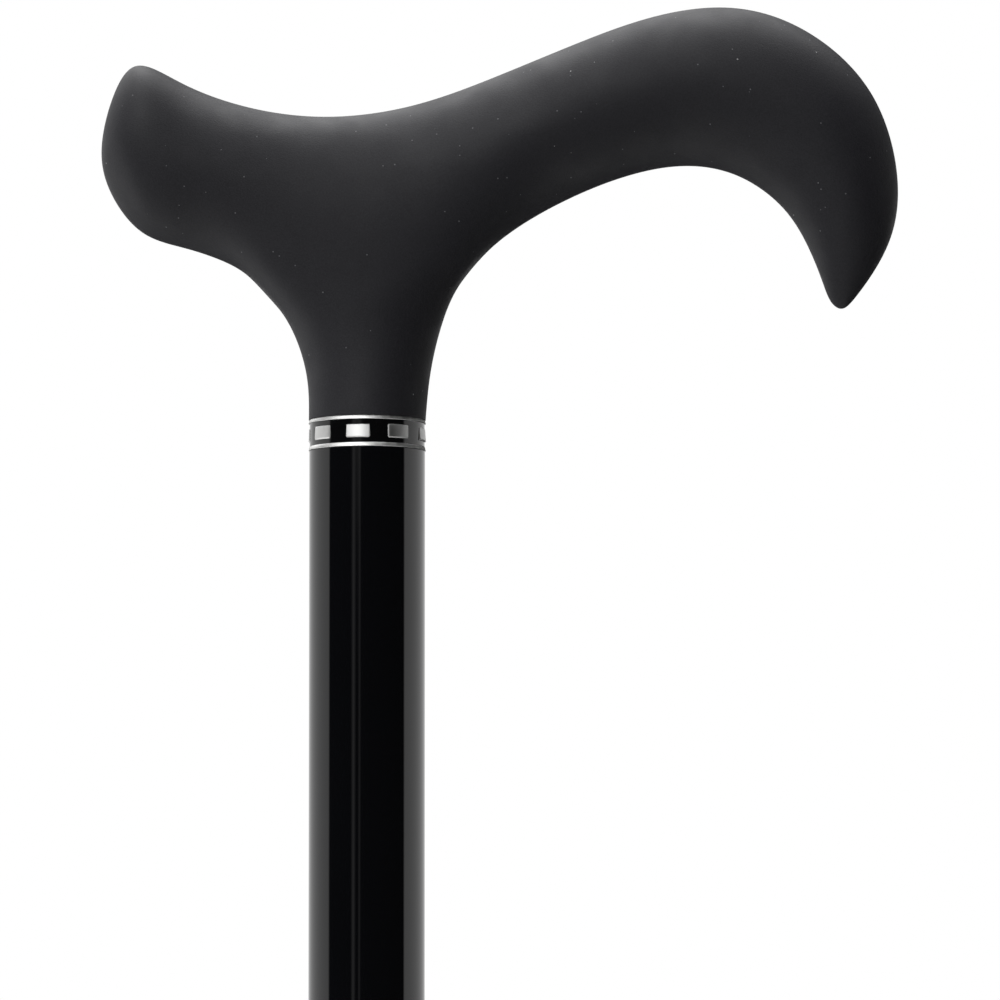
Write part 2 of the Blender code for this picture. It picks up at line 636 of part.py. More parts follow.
# --- Lower tube -----------------------------------------------------------------------------
def make_lower_tube():
    """Inner tube, its top guide, bottom plug and the screw that holds it in the base."""
    profile = [
        (LOWER_TUBE_RADIUS, LOWER_TUBE_TOP),
        (LOWER_TUBE_RADIUS, LOWER_TUBE_BOTTOM),
        (LOWER_TUBE_BORE, LOWER_TUBE_BOTTOM),
        (LOWER_TUBE_BORE, LOWER_TUBE_TOP),
    ]
    tube = keep(turned("lower_tube", profile), satin_black, swivel_axis, on_shaft())
    cut(tube, cutter(rod("button_hole", HOLE_RADIUS, 5 * MM, 12 * MM), on_shaft(BUTTON_Z),
                     ALONG_MINUS_Y))

    guide_depth = 18 * MM
    guide_bore = 4.5 * MM
    flange = 3.2 * MM
    edge = 0.6 * MM
    guide_profile = [
        (LOWER_TUBE_RADIUS - edge, flange + GAP),
        (LOWER_TUBE_RADIUS, flange + GAP - edge),
        (LOWER_TUBE_RADIUS, GAP),
        (LOWER_TUBE_BORE - GAP, GAP),
        (LOWER_TUBE_BORE - GAP, -guide_depth + edge),
        (LOWER_TUBE_BORE - GAP - edge, -guide_depth),
        (guide_bore, -guide_depth),
        (guide_bore, flange + GAP),
    ]
    keep(turned("glide_bush", guide_profile), nylon, swivel_axis, on_shaft(LOWER_TUBE_TOP))

    plug_height = 30 * MM
    plug_radius = LOWER_TUBE_BORE - GAP
    thread_depth = 18 * MM
    plug_profile = [
        (0, plug_height),
        (plug_radius - edge, plug_height),
        (plug_radius, plug_height - edge),
        (plug_radius, GAP),
        (M6_RADIUS + GAP, GAP),
        (M6_RADIUS + GAP, thread_depth),
        (0, thread_depth),
    ]
    plug = keep(turned("shaft_plug", plug_profile), aluminium, swivel_axis, on_shaft(LOWER_TUBE_BOTTOM))
    pin_radius = 1.5 * MM
    pin_z = LOWER_TUBE_BOTTOM + thread_depth + 5 * MM
    pin_length = LOWER_TUBE_RADIUS - GAP
    pin_hole = cutter(rod("plug_pin_hole", pin_radius + GAP, -15 * MM, 15 * MM), on_shaft(pin_z),
                      ALONG_MINUS_Y)
    cut(tube, pin_hole)
    cut(plug, pin_hole)
    keep(rod("plug_pin", pin_radius, -pin_length, pin_length), spring_steel, swivel_axis,
         on_shaft(pin_z), ALONG_MINUS_Y)

    washer_top = COUNTERBORE_TOP - GAP
    washer_profile = [
        (PIVOT_WASHER_RADIUS, washer_top),
        (PIVOT_WASHER_RADIUS, washer_top - WASHER_THICKNESS),
        (M6_RADIUS + GAP, washer_top - WASHER_THICKNESS),
        (M6_RADIUS + GAP, washer_top),
    ]
    keep(turned("pivot_washer", washer_profile), steel, swivel_axis, on_shaft())
    head_top = washer_top - WASHER_THICKNESS - GAP
    head_radius = 5.0 * MM
    head_height = 4.0 * MM
    shank_top = LOWER_TUBE_BOTTOM + thread_depth - 2 * MM
    screw_profile = [
        (0, shank_top),
        (M6_RADIUS - edge, shank_top),
        (M6_RADIUS, shank_top - edge),
        (M6_RADIUS, head_top),
        (head_radius, head_top),
        (head_radius, head_top - head_height + edge),
        (head_radius - edge, head_top - head_height),
        (0, head_top - head_height),
    ]
    screw = keep(turned("pivot_screw", screw_profile), steel, swivel_axis, on_shaft())
    head_bottom = head_top - head_height
    key_radius = 2.8 * MM
    key_depth = 2.4 * MM
    cut(screw, cutter(rod("pivot_key", key_radius, head_bottom - PAST, head_bottom + key_depth, 6),
                      on_shaft()))


def make_button():
    """Snap button, and the V-shaped leaf spring that pushes it out."""
    tip = UPPER_TUBE_RADIUS + BUTTON_PROUD
    flange_top = 5.9 * MM
    flange_bottom = 4.7 * MM
    flange_radius = 5.0 * MM
    dome = 2.0 * MM
    profile = [(0, tip)]
    for degrees in (30, 60, 90):
        angle = math.radians(degrees)
        profile.append((BUTTON_RADIUS * math.sin(angle), tip - dome * (1 - math.cos(angle))))
    profile.append((BUTTON_RADIUS, flange_top))
    profile.append((flange_radius, flange_top))
    profile.append((flange_radius, flange_bottom))
    profile.append((0, flange_bottom))
    keep(turned("height_button", profile, SMALL_STEPS), steel, button_axis, on_shaft(BUTTON_Z),
         ALONG_MINUS_Y)

    leaf = 0.5 * MM
    half_width = 4 * MM
    near = -flange_bottom + GAP + leaf / 2
    far = 6.0 * MM
    corners = [
        Vector((0, near, 5 * MM)),
        Vector((0, near, -6 * MM)),
        Vector((0, 0.5 * MM, -38 * MM)),
        Vector((0, far, -8 * MM)),
    ]
    shape = bmesh.new()
    rows = []
    for place in rounded_path(corners, 1.8 * MM, math.radians(30)):
        rows.append([shape.verts.new(place + Vector((side * half_width, 0, 0))) for side in (-1, 1)])
    for row, next_row in zip(rows, rows[1:]):
        shape.faces.new((row[0], row[1], next_row[1], next_row[0]))
    spring = from_bmesh("button_spring", shape)
    keep(spring, spring_steel, swivel_axis, on_shaft(BUTTON_Z))
    sheet = spring.modifiers.new("leaf", "SOLIDIFY")
    sheet.thickness = leaf
    sheet.offset = 0


# --- Base -----------------------------------------------------------------------------------
def make_hub():
    """Cast hub: shaft socket with clamp ears, and a cross boss for each arch."""
    boss_radius = LEG_RADIUS + 3.5 * MM
    plate_half_x = 19 * MM
    plate_half_y = ARCH_OFFSET + 9 * MM
    hub = rod("base_hub", SOCKET_BOSS_RADIUS, HUB_BOTTOM + 1 * MM, HUB_TOP, ROUND_STEPS)
    keep(hub, powder_black, base_axis, on_shaft())
    plate = block("hub_plate", (-plate_half_x, -plate_half_y, HUB_BOTTOM),
                  (plate_half_x, plate_half_y, HUB_FLOOR + 1 * MM))
    ear_length = 9.5 * MM           # past the clamp screw
    ears = block("clamp_ears", (CLAMP_X - ear_length, -EAR_HALF, SLOT_BOTTOM + 3 * MM),
                 (-10 * MM, EAR_HALF, HUB_TOP - 3.5 * MM))
    join(hub, cutter(plate, on_shaft()), cutter(ears, on_shaft()))
    for name, (arch_y, _, _) in ARCH_PLACES.items():
        boss = rod(name + "_boss", boss_radius, -ARCH_HALF_GRIP, ARCH_HALF_GRIP, ROUND_STEPS)
        join(hub, cutter(boss, (0, arch_y, ARCH_Z), ALONG_X))
    for name, (arch_y, _, _) in ARCH_PLACES.items():
        bore = rod(name + "_bore", LEG_RADIUS + GAP, -ARCH_HALF_GRIP - PAST, ARCH_HALF_GRIP + PAST,
                   ROUND_STEPS)
        cut(hub, cutter(bore, (0, arch_y, ARCH_Z), ALONG_X))

    socket = rod("socket_bore", SOCKET_RADIUS, HUB_FLOOR, HUB_TOP + PAST, ROUND_STEPS)
    pivot = rod("pivot_hole", PIVOT_HOLE_RADIUS, HUB_BOTTOM - PAST, HUB_TOP)
    counterbore = rod("counterbore", PIVOT_WASHER_RADIUS + 0.5 * MM, HUB_BOTTOM - PAST,
                      COUNTERBORE_TOP, ROUND_STEPS)
    slot = block("clamp_slot", (CLAMP_X - ear_length - PAST, -SLOT_HALF, SLOT_BOTTOM),
                 (-5 * MM, SLOT_HALF, HUB_TOP + PAST))
    cut(hub, *(cutter(tool, on_shaft()) for tool in (socket, pivot, counterbore, slot)))

    clamp_place = (CLAMP_X, SHAFT_Y, CLAMP_Z)
    clamp_hole = rod("clamp_hole", M6_RADIUS + GAP, -EAR_HALF - PAST, EAR_HALF + PAST)
    nut_pocket = rod("nut_pocket", NUT_RADIUS + GAP, EAR_HALF - NUT_THICKNESS, EAR_HALF + PAST, 6)
    for tool in (clamp_hole, nut_pocket):
        cut(hub, cutter(tool, clamp_place, ALONG_MINUS_Y))


def make_clamp():
    """Five-lobed hand knob on a stud, and the nut it pulls on."""
    nut = rod("clamp_nut", NUT_RADIUS, EAR_HALF - NUT_THICKNESS + GAP, EAR_HALF, 6)
    keep(nut, steel, base_axis, (CLAMP_X, SHAFT_Y, CLAMP_Z), ALONG_MINUS_Y)
    cut(nut, bpy.data.objects["clamp_hole"])

    knob_radius = 12 * MM
    knob_low = EAR_HALF + GAP
    knob_high = knob_low + 15 * MM
    neck_radius = 7 * MM
    stud_top = knob_high - 5 * MM
    knob_profile = [
        (0, knob_high),
        (knob_radius * 0.5, knob_high),
        (knob_radius * 0.85, knob_high - 0.8 * MM),
        (knob_radius, knob_high - 3 * MM),
        (knob_radius, knob_low + 5.5 * MM),
        (knob_radius - 1.5 * MM, knob_low + 4 * MM),
        (neck_radius, knob_low + 3.5 * MM),
        (neck_radius, knob_low),
        (M6_RADIUS + GAP, knob_low),
        (M6_RADIUS + GAP, stud_top + GAP),
        (0, stud_top + GAP),
    ]
    place = (CLAMP_X, SHAFT_Y, CLAMP_Z)
    knob = keep(turned("clamp_knob", knob_profile), nylon, knob_axis, place, ALONG_PLUS_Y)
    lobes = 5
    scallops = []
    for index in range(lobes):
        turn = Matrix.Rotation(math.tau * index / lobes, 4, "Z")
        move = Matrix.Translation((knob_radius + 3.2 * MM, 0, 0))
        scallop = rod("scallop", 5 * MM, knob_low + 3 * MM, knob_high + PAST, ROUND_STEPS)
        scallops.append((scallop, turn @ move))
    cut(knob, cutter(joined_shapes("knob_scallops", scallops), place, ALONG_PLUS_Y))
    stud = rod("clamp_stud", M6_RADIUS, -EAR_HALF - 3 * MM, stud_top)
    keep(stud, steel, knob_axis, place, ALONG_PLUS_Y)


def make_swivel_bush():
    """Split plastic bush that the lower tube turns in."""
    bush_radius = SOCKET_RADIUS - GAP
    bush_bore = LOWER_TUBE_RADIUS + GAP
    floor = HUB_FLOOR + GAP
    floor_top = LOWER_TUBE_BOTTOM - GAP
    flange_radius = SOCKET_BOSS_RADIUS - 1 * MM
    flange_low = HUB_TOP + GAP
    flange_high = flange_low + 1.7 * MM
    edge = 0.5 * MM
    profile = [
        (flange_radius - edge, flange_high),
        (flange_radius, flange_high - edge),
        (flange_radius, flange_low),
        (bush_radius, flange_low),
        (bush_radius, floor),
        (PIVOT_HOLE_RADIUS, floor),
        (PIVOT_HOLE_RADIUS, floor_top),
        (bush_bore, floor_top),
        (bush_bore, flange_high),
    ]
    bush = keep(turned("swivel_bush", profile), nylon, base_axis, on_shaft())
    slit_half = 1 * MM
    slit = block("bush_slit", (-flange_radius - PAST, -slit_half, SLOT_BOTTOM + 1 * MM),
                 (-8 * MM, slit_half, flange_high + PAST))
    cut(bush, cutter(slit, on_shaft()))


def make_legs():
    """Two bent tubes make the four legs: each ends in two rubber tips."""
    for name, (arch_y, foot_x, foot_y) in ARCH_PLACES.items():
        corners = [
            Vector((side * x, y, z))
            for side, x, y, z in (
                (-1, foot_x, foot_y, LEG_BOTTOM),
                (-1, foot_x, foot_y, ARCH_SHOULDER_Z),
                (-1, ARCH_HALF_GRIP + ARCH_RUN_OUT, arch_y, ARCH_Z),
                (1, ARCH_HALF_GRIP + ARCH_RUN_OUT, arch_y, ARCH_Z),
                (1, foot_x, foot_y, ARCH_SHOULDER_Z),
                (1, foot_x, foot_y, LEG_BOTTOM),
            )
        ]
        arch = bent_tube(name, rounded_path(corners, ARCH_BEND), LEG_RADIUS, LEG_WALL)
        keep(arch, powder_black, base_axis)
        screw_top = ARCH_Z + LEG_RADIUS + 1 * MM
        hole = cutter(rod(name + "_screw_hole", M5_RADIUS + GAP, HUB_BOTTOM - PAST, screw_top + GAP),
                      (0, arch_y, 0))
        cut(arch, hole)
        cut(bpy.data.objects["base_hub"], hole)
        make_arch_screw(name + "_screw", (0, arch_y, 0), screw_top)
        for side, end in ((1, "front"), (-1, "rear")):
            make_tip(name.split("_")[0] + "_" + end, (side * foot_x, foot_y, 0))


def make_arch_screw(name, place, top):
    """Screw driven up through the hub and the arch."""
    head_top = HUB_BOTTOM - GAP
    head_radius = 4.2 * MM
    head_height = 3.0 * MM
    edge = 0.5 * MM
    profile = [
        (0, top),
        (M5_RADIUS - edge, top),
        (M5_RADIUS, top - edge),
        (M5_RADIUS, head_top),
        (head_radius, head_top),
        (head_radius, head_top - head_height + 2 * edge),
        (head_radius - 2 * edge, head_top - head_height),
        (0, head_top - head_height),
    ]
    screw = keep(turned(name, profile, SMALL_STEPS), steel, base_axis, place)
    head_bottom = head_top - head_height
    key_radius = 1.8 * MM
    key_depth = 1.6 * MM
    key = rod(name + "_key", key_radius, head_bottom - PAST, head_bottom + key_depth, 6)
    cut(screw, cutter(key, place))


def make_tip(corner, place):
    """Rubber tip with a grooved tread, and the steel washer that the leg stands on."""
    bore = LEG_RADIUS + GAP
    neck_radius = 11.6 * MM
    bead_radius = 12.3 * MM
    tread_depth = 1.5 * MM
    washer_bore = 2.5 * MM
    profile = [
        (0, TIP_FLOOR),
        (bore, TIP_FLOOR),
        (bore, TIP_HEIGHT),
        (bead_radius, TIP_HEIGHT),
        (bead_radius, TIP_HEIGHT - 3.0 * MM),
        (neck_radius, TIP_HEIGHT - 4.0 * MM),
        (neck_radius + 0.8 * MM, 13 * MM),
        (TIP_RADIUS, 6 * MM),
        (TIP_RADIUS, 0),
        (12.2 * MM, 0),
        (11.4 * MM, tread_depth),
        (9.8 * MM, tread_depth),
        (9.0 * MM, 0),
        (0, 0),
    ]
    keep(turned(corner + "_tip", profile, TIP_STEPS), tip_rubber, base_axis, place)
    washer_profile = [
        (LEG_RADIUS, TIP_FLOOR + GAP + WASHER_THICKNESS),
        (LEG_RADIUS, TIP_FLOOR + GAP),
        (washer_bore, TIP_FLOOR + GAP),
        (washer_bore, TIP_FLOOR + GAP + WASHER_THICKNESS),
    ]
    keep(turned(corner + "_tip_washer", washer_profile, SMALL_STEPS), steel, base_axis, place)


make_upper_tube(make_handle())
make_collar()
make_lock()
make_lower_tube()
make_button()
make_hub()
make_clamp()
make_swivel_bush()
make_legs()
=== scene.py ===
"""Looks of the quad walking cane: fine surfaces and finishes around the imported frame, and the studio."""

import json
import math

import bmesh
import bpy
from mathutils import Matrix, Vector


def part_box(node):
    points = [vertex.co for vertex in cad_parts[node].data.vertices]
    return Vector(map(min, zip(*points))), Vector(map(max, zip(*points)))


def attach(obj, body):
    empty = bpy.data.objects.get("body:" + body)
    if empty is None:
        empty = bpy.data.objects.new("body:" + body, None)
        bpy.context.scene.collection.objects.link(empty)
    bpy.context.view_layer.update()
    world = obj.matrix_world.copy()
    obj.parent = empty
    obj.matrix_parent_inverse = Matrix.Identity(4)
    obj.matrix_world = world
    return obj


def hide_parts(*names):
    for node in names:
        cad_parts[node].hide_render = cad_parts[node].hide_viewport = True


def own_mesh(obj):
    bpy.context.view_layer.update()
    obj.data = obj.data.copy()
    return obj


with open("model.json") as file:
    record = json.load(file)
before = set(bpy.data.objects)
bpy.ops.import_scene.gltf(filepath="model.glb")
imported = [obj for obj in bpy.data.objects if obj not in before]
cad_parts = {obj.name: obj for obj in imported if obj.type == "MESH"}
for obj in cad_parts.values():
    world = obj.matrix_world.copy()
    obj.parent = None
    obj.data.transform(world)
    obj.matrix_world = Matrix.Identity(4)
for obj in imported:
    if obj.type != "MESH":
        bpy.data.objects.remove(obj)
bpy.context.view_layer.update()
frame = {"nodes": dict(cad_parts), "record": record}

MM = 0.001
FINE = 96                       # facets round a large turned piece
SMALL = 48                      # facets round a screw, pin or hole
PAST = 5 * MM                   # how far a cutter runs past the face that it opens


# --- Places from the frame --------------------------------------------------------------------
def centre(node):
    """Middle of a node's box."""
    low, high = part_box(node)
    return (low + high) / 2


def half_width(node):
    """Radius of an upright round node."""
    low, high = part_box(node)
    return (high.x - low.x) / 2


def bottom(node):
    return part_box(node)[0].z


def top(node):
    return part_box(node)[1].z


SHAFT = centre("upper_tube").xy
SEAT = bottom("grip_skin")
TUBE_RADIUS = half_width("upper_tube")
TUBE_WALL = 1.2 * MM
TUBE_BORE = TUBE_RADIUS - TUBE_WALL
INNER_RADIUS = half_width("lower_tube")
INNER_WALL = 1.5 * MM
INNER_BORE = INNER_RADIUS - INNER_WALL
BUTTON_Z = centre("height_button").z
HOLE_PITCH = 25 * MM
HOLES_EACH_WAY = 3              # height holes above and below the middle one
HOLE_RADIUS = 4.0 * MM
LEG_RADIUS = 8.0 * MM
ARCH_BEND = 30 * MM
ARCH_DROP = 10 * MM             # from an arch's middle down to its shoulders
ARCH_CORNER_X = 41.5 * MM       # where an arch leaves its straight middle
CLAMP = centre("clamp_knob")
FEET = ("inner_front", "inner_rear", "outer_front", "outer_rear")


def on_shaft(height=0.0):
    """Point on the shaft's axis."""
    return Vector((SHAFT.x, SHAFT.y, height))


# --- Node materials ---------------------------------------------------------------------------
def add(tree, kind, inputs=None, **settings):
    """Add a shader node. An input is a constant, or a socket to link."""
    node = tree.nodes.new("ShaderNode" + kind)
    for name, value in settings.items():
        setattr(node, name, value)
    for name, value in (inputs or {}).items():
        if isinstance(value, bpy.types.NodeSocket):
            tree.links.new(value, node.inputs[name])
        else:
            node.inputs[name].default_value = value
    return node


def noise(tree, scale, detail, stretch=(1, 1, 1)):
    """Noise in the object's own metres, stretched along an axis if asked."""
    place = add(tree, "TexCoord").outputs["Object"]
    mapping = add(tree, "Mapping", {"Vector": place, "Scale": stretch})
    inputs = {"Vector": mapping.outputs["Vector"], "Scale": scale, "Detail": detail}
    return add(tree, "TexNoise", inputs).outputs["Fac"]


def span(tree, value, from_min, from_max, to_min, to_max):
    """Map a value from one range to another, clamped."""
    ranges = {"Value": value, "From Min": from_min, "From Max": from_max, "To Min": to_min, "To Max": to_max}
    return add(tree, "MapRange", ranges).outputs["Result"]


def follow(tree, texture, low, high):
    """Map the middle of the range of a noise, where most of it lies, to a low and a high value."""
    return span(tree, texture, 0.3, 0.7, low, high)


def blended(tree, factor, first, second):
    """Mix two colours by a factor."""
    mix = add(tree, "Mix", {"Factor": factor}, data_type="RGBA")
    for index, colour in ((6, first), (7, second)):
        if isinstance(colour, bpy.types.NodeSocket):
            tree.links.new(colour, mix.inputs[index])
        else:
            mix.inputs[index].default_value = (*colour, 1.0)
    return mix.outputs[2]


def specks(tree, scale, radius, share):
    """Small round specks: 1 inside them and 0 outside. A share of the cells holds one."""
    place = add(tree, "TexCoord").outputs["Object"]
    cells = add(tree, "TexVoronoi", {"Vector": place, "Scale": scale})
    inside = add(tree, "Math", {0: cells.outputs["Distance"], 1: radius}, operation="LESS_THAN")
    tone = add(tree, "SeparateColor", {"Color": cells.outputs["Color"]})
    chosen = add(tree, "Math", {0: tone.outputs["Red"], 1: share}, operation="LESS_THAN")
    both = add(tree, "Math", {0: inside.outputs[0], 1: chosen.outputs[0]}, operation="MULTIPLY")
    return both.outputs[0]


def finish(name, colour=None, roughness=0.5, metallic=0.0, **constants):
    """A Principled material. Returns the material, its tree and its shader."""
    material = bpy.data.materials.new(name)
    material.use_nodes = True
    tree = material.node_tree
    shader = tree.nodes["Principled BSDF"]
    if colour:
        shader.inputs["Base Color"].default_value = (*colour, 1.0)
    shader.inputs["Roughness"].default_value = roughness
    shader.inputs["Metallic"].default_value = metallic
    for socket, value in constants.items():
        shader.inputs[socket.replace("_", " ")].default_value = value
    return material, tree, shader


def connect(tree, shader, colour, roughness, height, strength, depth):
    """Wire colour, roughness and a bump height into a shader."""
    tree.links.new(colour, shader.inputs["Base Color"])
    tree.links.new(roughness, shader.inputs["Roughness"])
    bump = add(tree, "Bump", {"Height": height, "Strength": strength, "Distance": depth})
    tree.links.new(bump.outputs["Normal"], shader.inputs["Normal"])


def soft_touch():
    """Rubberised black coating: fine tooth, faint mottling and a few dust specks of two sizes."""
    material, tree, shader = finish("soft_touch_black", roughness=0.62, Specular_IOR_Level=0.42)
    grain = noise(tree, 3400, 3)
    mottle = blended(tree, follow(tree, grain, 0, 1), (0.0145, 0.0142, 0.0182), (0.0225, 0.0221, 0.0270))
    dust = blended(tree, specks(tree, scale=420, radius=0.06, share=0.60), mottle, (0.13, 0.13, 0.14))
    colour = blended(tree, specks(tree, scale=260, radius=0.042, share=0.30), dust, (0.34, 0.34, 0.35))
    roughness = follow(tree, noise(tree, 140, 3), 0.57, 0.66)
    connect(tree, shader, colour, roughness, grain, strength=0.7, depth=0.06 * MM)
    return material


def gloss_lacquer():
    """Deep gloss black lacquer with a trace of orange peel and fine rubbed marks."""
    material, tree, shader = finish("gloss_black_tube", roughness=0.05)
    colour = blended(tree, noise(tree, 25, 2), (0.0020, 0.0022, 0.0030), (0.0034, 0.0036, 0.0048))
    rubbed = noise(tree, 900, 3, stretch=(1, 1, 0.03))
    roughness = span(tree, rubbed, 0.45, 0.75, 0.035, 0.085)
    connect(tree, shader, colour, roughness, noise(tree, 300, 1), strength=0.04, depth=0.05 * MM)
    return material


def satin_lacquer():
    """Satin black on the inner tube, with the marks of sliding along its length."""
    material, tree, shader = finish("satin_black_tube", roughness=0.3)
    drawn = noise(tree, 1400, 4, stretch=(1, 1, 0.015))
    worn = span(tree, drawn, 0.60, 0.80, 0, 1)
    colour = blended(tree, worn, (0.0095, 0.0095, 0.0105), (0.030, 0.030, 0.032))
    roughness = follow(tree, drawn, 0.24, 0.36)
    connect(tree, shader, colour, roughness, drawn, strength=0.08, depth=0.03 * MM)
    return material


def powder_coat():
    """Fine-textured black powder coat."""
    material, tree, shader = finish("powder_coat", roughness=0.48)
    colour = blended(tree, noise(tree, 90, 3), (0.0120, 0.0120, 0.0128), (0.0180, 0.0180, 0.0190))
    grain = noise(tree, 1500, 3)
    roughness = follow(tree, grain, 0.42, 0.56)
    connect(tree, shader, colour, roughness, grain, strength=0.6, depth=0.15 * MM)
    return material


def nylon():
    """Moulded black nylon with a light spark-eroded grain."""
    material, tree, shader = finish("nylon_black", roughness=0.45)
    colour = blended(tree, noise(tree, 120, 3), (0.0150, 0.0150, 0.0158), (0.0215, 0.0215, 0.0225))
    grain = noise(tree, 2600, 2)
    roughness = follow(tree, grain, 0.40, 0.52)
    connect(tree, shader, colour, roughness, grain, strength=0.18, depth=0.06 * MM)
    return material


def rubber():
    """Matte black rubber with a bloom, greyer and dustier towards the floor."""
    material, tree, shader = finish("tip_rubber", roughness=0.8)
    place = add(tree, "TexCoord").outputs["Object"]
    height = add(tree, "SeparateXYZ", {"Vector": place}).outputs["Z"]
    dusty_height = 9 * MM
    low = span(tree, height, 0.0, dusty_height, 1.0, 0.0)
    patchy = span(tree, noise(tree, 350, 5), 0.4, 0.65, 0.0, 0.8)
    scuffed = add(tree, "Math", {0: low, 1: patchy}, operation="MULTIPLY").outputs[0]
    body = blended(tree, noise(tree, 150, 4), (0.0175, 0.0175, 0.0180), (0.0260, 0.0255, 0.0255))
    colour = blended(tree, scuffed, body, (0.085, 0.082, 0.078))
    roughness = follow(tree, noise(tree, 700, 3), 0.72, 0.88)
    connect(tree, shader, colour, roughness, noise(tree, 2200, 3), strength=0.25, depth=0.10 * MM)
    return material


def metal(name, colour, roughness, stretch, scale=1600, shade=0.12):
    """Bare metal with fine marks left by its making, which are darker by a share, the shade."""
    material, tree, shader = finish(name, metallic=1.0)
    marks = noise(tree, scale, 3, stretch)
    darker = tuple(value * (1 - shade) for value in colour)
    tone = blended(tree, follow(tree, marks, 0, 1), darker, colour)
    spread = follow(tree, marks, roughness * 0.75, roughness * 1.25)
    connect(tree, shader, tone, spread, marks, strength=0.06, depth=0.02 * MM)
    return material


def satin_silver():
    """Silver inlay with a satin face."""
    material, tree, shader = finish("satin_silver", metallic=1.0)
    marks = noise(tree, 700, 3, stretch=(1, 1, 0.25))
    tone = blended(tree, follow(tree, marks, 0, 1), (0.80, 0.80, 0.79), (0.93, 0.93, 0.92))
    roughness = follow(tree, marks, 0.34, 0.48)
    connect(tree, shader, tone, roughness, marks, strength=0.12, depth=0.03 * MM)
    return material


def enamel():
    """Glossy black enamel fill."""
    material, tree, shader = finish("black_enamel", roughness=0.08)
    colour = blended(tree, noise(tree, 200, 2), (0.0020, 0.0020, 0.0024), (0.0040, 0.0040, 0.0046))
    roughness = follow(tree, noise(tree, 800, 2), 0.05, 0.12)
    connect(tree, shader, colour, roughness, noise(tree, 500, 1), strength=0.05, depth=0.03 * MM)
    return material


FINISHES = {
    "soft_touch_black": soft_touch(),
    "gloss_black_tube": gloss_lacquer(),
    "satin_black_tube": satin_lacquer(),
    "powder_coat_black": powder_coat(),
    "nylon_black": nylon(),
    "tip_rubber": rubber(),
    "black_enamel": enamel(),
    "bright_metal": metal("chrome", (0.94, 0.94, 0.93), 0.42, (1, 1, 0.2), scale=900, shade=0.04),
    "zinc_steel": metal("zinc", (0.58, 0.59, 0.61), 0.30, (1, 1, 1), scale=1200, shade=0.18),
    "spring_steel": metal("spring", (0.42, 0.42, 0.44), 0.28, (1, 1, 0.05)),
    "aluminium": metal("turned_aluminium", (0.70, 0.71, 0.72), 0.34, (0.05, 0.05, 1)),
}
FINISHES["powder_coat_black_hub"] = FINISHES["powder_coat_black"]
SATIN_SILVER = satin_silver()
NODE_SLOTS = {row["node"]: row["material_slot"] for row in frame["record"]["subparts"]}
for node_name, node_object in frame["nodes"].items():
    node_object.data.materials.clear()
    node_object.data.materials.append(FINISHES[NODE_SLOTS[node_name]])


# --- Making pieces ----------------------------------------------------------------------------
def link(piece, place=(0, 0, 0), turn=(0, 0, 0)):
    """Put an object in the scene."""
    bpy.context.scene.collection.objects.link(piece)
    piece.location = place
    piece.rotation_euler = turn
    return piece


def formed(name, form, place=(0, 0, 0), turn=(0, 0, 0)):
    """Put an object made from a bmesh in the scene, and free the bmesh."""
    mesh = bpy.data.meshes.new(name)
    form.to_mesh(mesh)
    form.free()
    return link(bpy.data.objects.new(name, mesh), place, turn)


def settle(piece):
    """Apply an object's modifiers and its place to its mesh."""
    bpy.context.view_layer.update()
    evaluated = piece.evaluated_get(bpy.context.evaluated_depsgraph_get())
    mesh = bpy.data.meshes.new_from_object(evaluated)
    mesh.transform(piece.matrix_world)
    piece.modifiers.clear()
    if piece.type == "MESH":
        piece.data = mesh
        piece.matrix_world = Matrix.Identity(4)
        return piece
    name = piece.name
    bpy.data.objects.remove(piece)
    return link(bpy.data.objects.new(name, mesh))


def soften(piece, width, segments, angle):
    """Round an object's edges, and shade it smooth between its sharp ones."""
    bevel = piece.modifiers.new("edges", "BEVEL")
    bevel.width = width
    bevel.segments = segments
    bevel.angle_limit = math.radians(angle)
    bevel.use_clamp_overlap = True
    settle(piece)
    return smooth(piece)


def smooth(piece, angle=35):
    """Shade smooth between sharp edges, with flat faces kept flat to their edges."""
    piece.data.shade_smooth()
    piece.data.set_sharp_from_angle(angle=math.radians(angle))
    weighted = piece.modifiers.new("normals", "WEIGHTED_NORMAL")
    weighted.keep_sharp = True
    return settle(piece)


def thicken(piece, thickness, offset):
    """Give an open surface a thickness. The offset is -1 to grow inwards only, and 0 to both sides."""
    sheet = piece.modifiers.new("sheet", "SOLIDIFY")
    sheet.thickness = thickness
    sheet.offset = offset
    return settle(piece)


def shape(piece, tools, operation="DIFFERENCE"):
    """Cut tools from a piece, or join them on, and remove them."""
    for tool in tools:
        boolean = piece.modifiers.new(tool.name, "BOOLEAN")
        boolean.operation = operation
        boolean.object = tool
    settle(piece)
    for tool in tools:
        bpy.data.objects.remove(tool)
    return piece


def show(piece, body, slot, node):
    """A finished piece: what it rides on, its finish, and the CAD node that it stands for."""
    piece.data.materials.clear()
    piece.data.materials.append(FINISHES[slot])
    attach(piece, body)
    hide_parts(node)


# Turns that lay a piece's own Z axis along another axis.
ALONG_MINUS_Y = (math.radians(90), 0, 0)
ALONG_PLUS_Y = (math.radians(-90), 0, 0)
ALONG_X = (0, math.radians(90), 0)


def arc(middle, radius, start, end, count):
    """Points of a circular arc in a profile, from one angle in degrees to another."""
    points = []
    for index in range(count + 1):
        angle = math.radians(start + (end - start) * index / count)
        points.append((middle[0] + radius * math.cos(angle), middle[1] + radius * math.sin(angle)))
    return points


